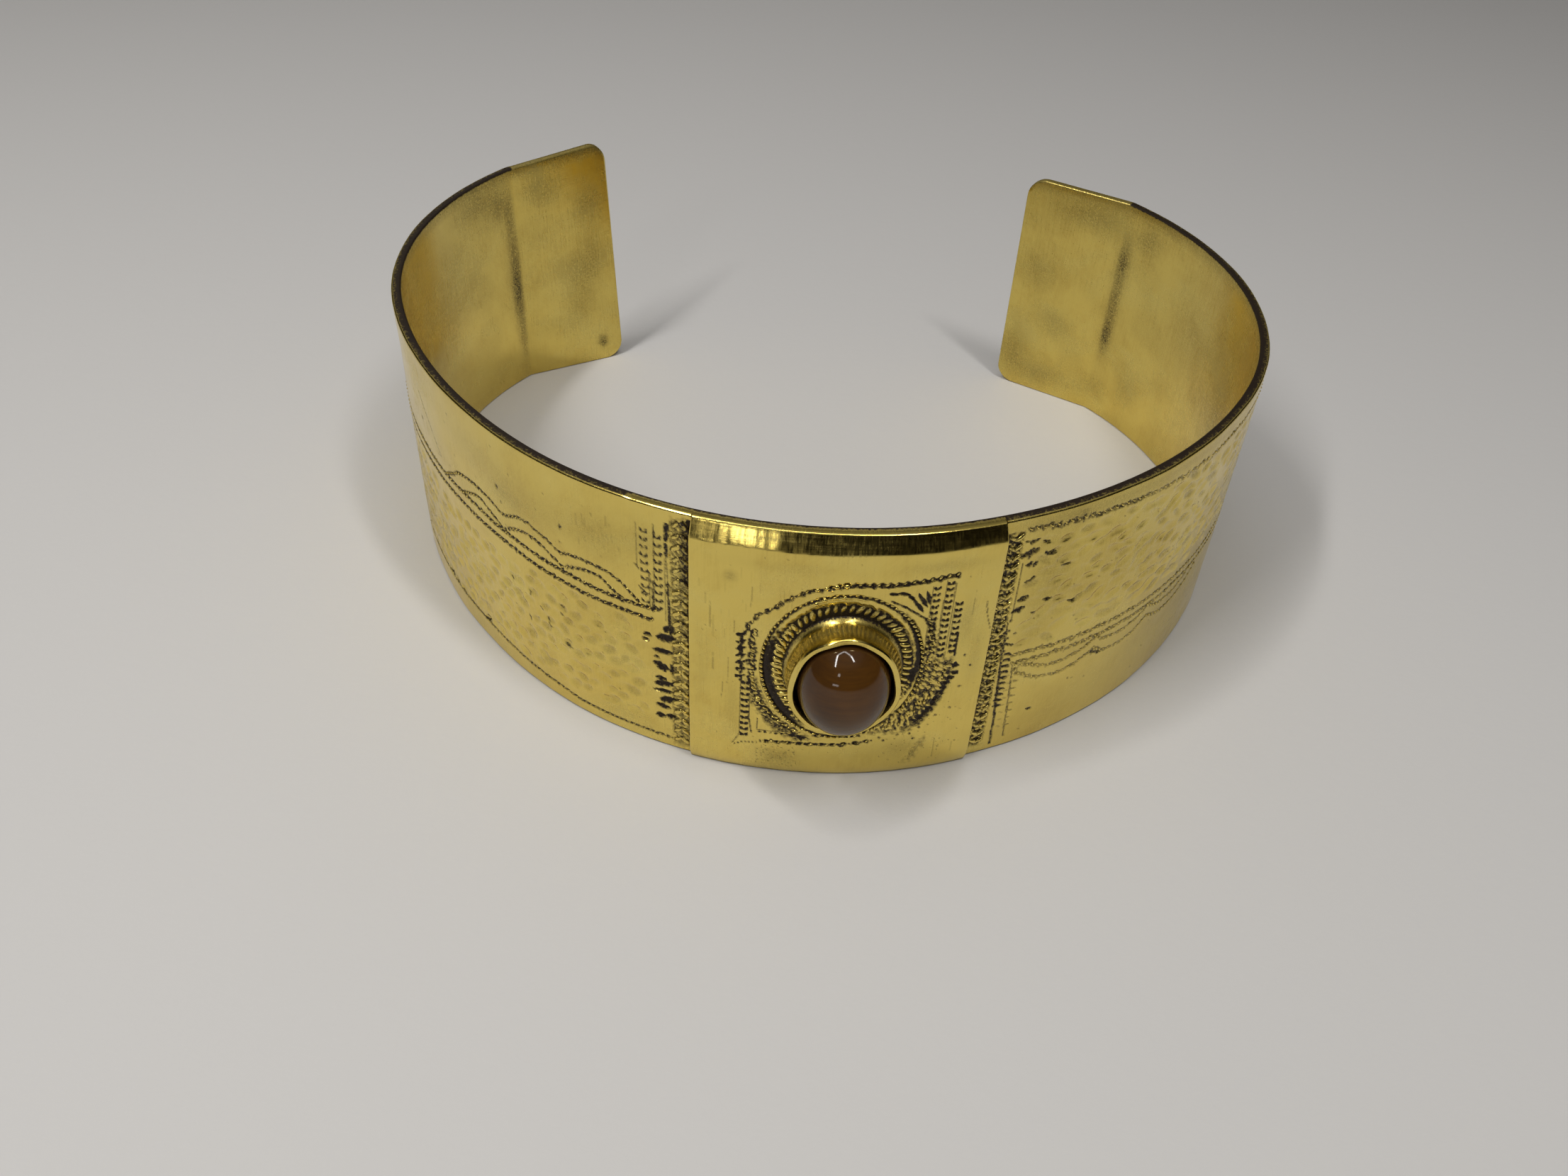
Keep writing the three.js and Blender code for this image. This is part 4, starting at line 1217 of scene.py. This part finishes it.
class BraceletLooks(bpy.types.PropertyGroup):
    """Colours and finishes that a user may change."""

    brass: FloatVectorProperty(name="Brass", description="Colour of the clean brass", subtype="COLOR",
                               default=(0.80, 0.62, 0.16), min=0, max=1)
    stained_brass: FloatVectorProperty(name="Stained brass",
                                       description="Colour of the brass where it is stained",
                                       subtype="COLOR", default=(0.60, 0.43, 0.10), min=0, max=1)
    stain_strength: FloatProperty(name="Stains", description="How strongly the stains show", subtype="FACTOR",
                                  default=0.65, min=0, max=1)
    worn_brass: FloatVectorProperty(name="Worn brass",
                                    description="Colour of the brass where it is worn satin",
                                    subtype="COLOR", default=(0.82, 0.69, 0.225), min=0, max=1)
    wear: FloatProperty(name="Wear", description="How strongly the satin patches show", subtype="FACTOR",
                        default=0.45, min=0, max=1)
    # This colour paints the tarnish, and also painted shade in some recesses and a dark reflection on the
    # rims.
    tarnish: FloatVectorProperty(name="Tarnish", description="Colour of the tarnish in the chased work",
                                 subtype="COLOR", default=(0.026, 0.017, 0.011), min=0, max=1)
    roughness: FloatProperty(name="Roughness", description="How dull the clean brass is", subtype="FACTOR",
                             default=0.16, min=0, max=1)
    scratch_depth: FloatProperty(name="Scratch depth", description="Depth of the fine scratches",
                                 unit="LENGTH", default=0.0034 * MM, precision=6)
    stone: FloatVectorProperty(name="Stone", description="Colour of the stone's body", subtype="COLOR",
                               default=(0.055, 0.024, 0.007), min=0, max=1)
    stone_heart: FloatVectorProperty(name="Stone heart", description="Colour of the stone's amber heart",
                                     subtype="COLOR", default=(0.165, 0.066, 0.008), min=0, max=1)
    stone_foot: FloatVectorProperty(name="Stone foot", description="Colour of the stone's lower side",
                                    subtype="COLOR", default=(0.112, 0.058, 0.011), min=0, max=1)
    floor: FloatVectorProperty(name="Floor", description="Colour of the floor", subtype="COLOR",
                               default=(0.70, 0.69, 0.68), min=0, max=1)


class StudioSettings(bpy.types.PropertyGroup):
    """Light and camera."""

    focal_length: FloatProperty(name="Focal length", description="Focal length of the camera's lens, in mm",
                                default=29.41)
    elevation: FloatProperty(name="Elevation", description="How far the camera looks down", subtype="ANGLE",
                             default=math.radians(40.81))
    roll: FloatProperty(name="Roll", description="How far the camera is rolled", subtype="ANGLE",
                        default=math.radians(3.23))
    tube_power: FloatProperty(name="Tube light", description="Power of a metre of tube overhead",
                              unit="POWER", default=1.34)
    back_power: FloatProperty(name="Back light", description="Power of the light behind the cuff",
                              unit="POWER", default=0.05)
    side_power: FloatProperty(name="Side light", description="Power of the low light in front",
                              unit="POWER", default=0.055)
    surround: FloatProperty(name="Surround", description="Brightness of the room overhead", default=0.22)


# A bent row of tubes overhead: each one's two ends and how bright it is beside the first.
TUBES = (
    ("tube_left", (-0.208, -0.244), (-0.123, -0.027), 1.75),
    ("tube_back_left", (-0.123, -0.027), (-0.0275, 0.015), 0.5),
    ("tube_back_right", (-0.0275, 0.015), (0.06, -0.063), 0.5),
    ("tube_right", (0.06, -0.063), (0.115, -0.155), 1.5),
)
TUBE_HEIGHT = 0.3
TUBE_WIDTH = 0.022
# Other lights: where each is, its length and width, whose power it takes and how many times.
SOFT_LIGHTS = (
    ("back", (-0.09, 0.40, 0.27), (0.3, 0.1), "back_power", 1),
    ("low_left", (-0.195, -0.48, 0.078), (0.12, 0.03), "side_power", 1),
    ("behind_camera", (-0.22, -0.60, 0.36), (0.07, 0.08), "side_power", 2),
)
# What the surroundings look like from straight down, 0, to straight up, 1.
ROOM_STOPS = (
    (0.0, (0.015, 0.013, 0.012, 1)), (0.45, (0.04, 0.036, 0.032, 1)), (0.64, (0.12, 0.11, 0.1, 1)),
    (0.8, (0.75, 0.74, 0.72, 1)), (1.0, (1.0, 0.98, 0.95, 1)),
)
LAMP_COLOUR = (1.0, 0.98, 0.95)
LIGHT_AIM = (0, -0.02, 0.01)
FLOOR_REACH = 1.5
# Where the camera is, in mm, and which way it looks along the floor.
CAMERA_PLACE = (-6.624, -83.692, 66.22)
CAMERA_BEARING = (0.0512, 0.9987, 0.0)
SENSOR_WIDTH = 36.0
CLIP_START = 0.005


def area_light(name, place, aim, size, power, bearing=None):
    """A soft rectangular light. It faces its aim, or straight down with its length on a bearing."""
    data = bpy.data.lights.new(name, "AREA")
    data.shape = "RECTANGLE"
    data.size, data.size_y = size
    data.energy = power
    data.color = LAMP_COLOUR
    light = bpy.data.objects.new(name, data)
    light.location = place
    if bearing is None:
        light.rotation_euler = (aim - Vector(place)).to_track_quat("-Z", "Y").to_euler()
    else:
        light.rotation_euler = (0, 0, bearing)
    bpy.context.scene.collection.objects.link(light)


class CUFF_OT_stage(bpy.types.Operator):
    """Sets up the floor, the lights, the surroundings and the camera"""

    bl_idname = "cuff.stage"
    bl_label = "Stage"

    def execute(self, context):
        scene = context.scene
        studio, looks = scene.cuff_studio, scene.cuff_looks
        mesh = bpy.data.meshes.new("floor")
        corners = [(x * FLOOR_REACH, y * FLOOR_REACH, 0) for x, y in ((-1, -1), (1, -1), (1, 1), (-1, 1))]
        mesh.from_pydata(corners, [], [(0, 1, 2, 3)])
        floor = link("floor", mesh)
        floor.data.materials.append(paper_finish("paper", looks.floor))

        world = bpy.data.worlds.new("room")
        world.use_nodes = True
        world.node_tree.nodes.clear()
        scene.world = world
        graph = Graph(world.node_tree)
        up = graph.node("ShaderNodeSeparateXYZ", {}, {0: graph.node("ShaderNodeTexCoord")["Generated"]})["Z"]
        room = graph.node("ShaderNodeValToRGB", {"stops": ROOM_STOPS}, {0: up})
        back = graph.node("ShaderNodeBackground", {}, {"Color": room, "Strength": studio.surround})
        graph.node("ShaderNodeOutputWorld", {}, {"Surface": back})

        aim = Vector(LIGHT_AIM)
        for name, start, end, share in TUBES:
            start, end = Vector(start), Vector(end)
            length = (end - start).length
            area_light(name, (*((start + end) / 2), TUBE_HEIGHT), aim, (length, TUBE_WIDTH),
                       studio.tube_power * share * length, math.atan2(end.y - start.y, end.x - start.x))
        for name, place, size, power, times in SOFT_LIGHTS:
            area_light(name, place, aim, size, getattr(studio, power) * times)

        camera_data = bpy.data.cameras.new("camera")
        camera_data.lens = studio.focal_length
        camera_data.sensor_width = SENSOR_WIDTH
        camera_data.clip_start = CLIP_START
        camera = bpy.data.objects.new("camera", camera_data)
        scene.collection.objects.link(camera)
        level = Vector(CAMERA_BEARING).normalized()
        ahead = level * math.cos(studio.elevation) - Vector((0, 0, math.sin(studio.elevation)))
        right = Vector((level.y, -level.x, 0.0))
        up = right.cross(ahead)
        turned_right = right * math.cos(studio.roll) + up * math.sin(studio.roll)
        turned_up = up * math.cos(studio.roll) - right * math.sin(studio.roll)
        pose = Matrix((turned_right, turned_up, -ahead)).transposed().to_4x4()
        pose.translation = Vector(mm(*CAMERA_PLACE))
        camera.matrix_world = pose
        scene.camera = camera
        scene.view_settings.view_transform = "Standard"
        return {"FINISHED"}


class CUFF_OT_arms(bpy.types.Operator):
    """Builds the two arms of the strip, with their chased shoulders"""

    bl_idname = "cuff.arms"
    bl_label = "Arms"

    def execute(self, context):
        for side in (-1, 1):
            piece = make_arm(side, context.scene.cuff_sizes, context.scene.cuff_looks)
            declare(piece, "cuff")
        return {"FINISHED"}


class CUFF_OT_front(bpy.types.Operator):
    """Builds the front of the strip with its chased plaque"""

    bl_idname = "cuff.front"
    bl_label = "Front and plaque"

    def execute(self, context):
        piece = make_front(context.scene.cuff_sizes, context.scene.cuff_looks)
        declare(piece, "cuff")
        return {"FINISHED"}


class CUFF_OT_ropes(bpy.types.Operator):
    """Builds the beads of the rope lines on the shoulders and the plaque"""

    bl_idname = "cuff.ropes"
    bl_label = "Rope lines"

    def execute(self, context):
        looks = context.scene.cuff_looks
        proud = context.scene.cuff_sizes.plaque_proud / MM
        slant = math.radians(38)

        def polished_near_plaque(run, height):
            return BEAD_STAIN * min(1.0, max(0.0, (abs(run) - 14.5) / 3))

        def darker_on_top(run, height):
            return 0.6 + 0.6 * min(1, max(0, (height - 12.5) / 1.5))

        pieces = [
            make_beads("ropes_left", rows(LEFT_ROPES[:2]), -0.06, looks, spacing=0.48,
                       bead_size=(0.34, 0.13, 0.17), slant=slant, stain_of=polished_near_plaque),
            make_beads("scallops_left", rows(LEFT_ROPES[2:]), -0.05, looks, spacing=0.4,
                       bead_size=(0.28, 0.11, 0.13), slant=slant, seed=5, stain_of=polished_near_plaque),
            make_beads("ropes_right", rows(RIGHT_ROPES, -1), -0.05, looks, spacing=0.46,
                       bead_size=(0.36, 0.15, 0.14), slant=slant, seed=8),
            make_beads("wide_rope_right", rows([RIGHT_WIDE_ROPE], -1), -0.06, looks, spacing=0.5,
                       bead_size=(0.44, 0.15, 0.16), slant=slant, seed=9),
            make_beads("frame_rope", rows([PLAQUE_OUTER, PLAQUE_FOOT]), proud - 0.07, looks, spacing=0.52,
                       bead_size=(0.34, 0.15, 0.15), slant=slant, seed=10, unevenness=0.25,
                       raggedness=0.05, stain_of=lambda run, height: 0.8),
            make_beads("ring_rope", [(oval(RING, 5.02, 6.25), 1)], proud - 0.06, looks, spacing=0.4,
                       bead_size=(0.34, 0.2, 0.18), slant=slant, seed=11),
            make_beads("polished_beads", rows(POLISHED), proud - 0.02, looks, spacing=0.52,
                       bead_size=(0.36, 0.3, 0.26), slant=0.0, seed=14, fineness=3, raggedness=0.01,
                       stain_of=lambda run, height: 0.0),
            make_beads("ring_teeth", [(oval(RING, 4.02, 5.12), 1)], proud - 0.08, looks, spacing=0.5,
                       bead_size=(0.82, 0.36, 0.26), slant=math.radians(66), seed=12, fineness=4,
                       unevenness=0.2, raggedness=0.05, stain_of=darker_on_top),
            make_beads("corner_leaves", rows(LOW_RIGHT_ARCS + [PLAQUE_LEFT, PLAQUE_RIGHT]), proud - 0.08,
                       looks, spacing=0.46, bead_size=(0.34, 0.16, 0.16), slant=math.radians(50),
                       unevenness=0.35, seed=13),
        ]
        for piece in pieces:
            declare(piece, "cuff")
        return {"FINISHED"}


class CUFF_OT_braids(bpy.types.Operator):
    """Builds the leaves of the two braids that flank the plaque"""

    bl_idname = "cuff.braids"
    bl_label = "Braids"

    def execute(self, context):
        looks = context.scene.cuff_looks
        lean = math.radians(52)

        def left_stain(run, height):
            return 0.75 + 0.5 * (height > 10.5) * (run > -10.2) + 0.25 * (height > 15)

        def right_stain(run, height):
            return 0.7 + 0.45 * (run < 10.4) * (height > 4)

        pieces = [
            make_beads("braid_left", braid_lines(-10.5, -9.98, 19.4, 0.9), -0.09, looks, spacing=0.86,
                       bead_size=(0.78, 0.36, 0.22), slant=-lean, seed=20, fineness=3, unevenness=0.12,
                       raggedness=0.16, stain_of=left_stain),
            make_beads("braid_right", braid_lines(10.14, 10.62, 19.0, 1.2), -0.1, looks, spacing=0.75,
                       bead_size=(0.74, 0.3, 0.22), slant=lean, seed=21, fineness=3, unevenness=0.14,
                       raggedness=0.16, stain_of=right_stain),
        ]
        for piece in pieces:
            declare(piece, "cuff")
        return {"FINISHED"}


class CUFF_OT_collar(bpy.types.Operator):
    """Builds the stone's collar"""

    bl_idname = "cuff.collar"
    bl_label = "Collar"

    def execute(self, context):
        piece = make_collar(context.scene.cuff_sizes, context.scene.cuff_looks)
        declare(piece, "cuff")
        return {"FINISHED"}


class CUFF_OT_stone(bpy.types.Operator):
    """Builds the oval cabochon"""

    bl_idname = "cuff.stone"
    bl_label = "Stone"

    def execute(self, context):
        piece = make_stone(context.scene.cuff_looks)
        declare(piece, "stone")
        return {"FINISHED"}


STEPS = (CUFF_OT_stage, CUFF_OT_arms, CUFF_OT_front, CUFF_OT_ropes, CUFF_OT_braids, CUFF_OT_collar,
         CUFF_OT_stone)


class CUFF_PT_panel(bpy.types.Panel):
    """Lists the steps and the sizes and colours that they use"""

    bl_idname = "CUFF_PT_panel"
    bl_label = "Chased brass cuff"
    bl_space_type = "VIEW_3D"
    bl_region_type = "UI"
    bl_category = "Cuff"

    def draw(self, context):
        for step in STEPS:
            self.layout.operator(step.bl_idname)
        for group in (context.scene.cuff_sizes, context.scene.cuff_looks, context.scene.cuff_studio):
            column = self.layout.column()
            for name in group.__annotations__:
                column.prop(group, name)


GROUPS = {"cuff_sizes": BraceletSizes, "cuff_looks": BraceletLooks, "cuff_studio": StudioSettings}


def register():
    for shown in (*GROUPS.values(), *STEPS, CUFF_PT_panel):
        bpy.utils.register_class(shown)
    for name, group in GROUPS.items():
        setattr(bpy.types.Scene, name, PointerProperty(type=group))


def unregister():
    for name in GROUPS:
        delattr(bpy.types.Scene, name)
    for shown in (CUFF_PT_panel, *reversed(STEPS), *reversed(GROUPS.values())):
        bpy.utils.unregister_class(shown)


def main():
    """Builds every piece in order."""
    register()
    for step in (bpy.ops.cuff.stage, bpy.ops.cuff.arms, bpy.ops.cuff.front, bpy.ops.cuff.ropes,
                 bpy.ops.cuff.braids, bpy.ops.cuff.collar, bpy.ops.cuff.stone):
        step()


if __name__ == "__main__":
    main()
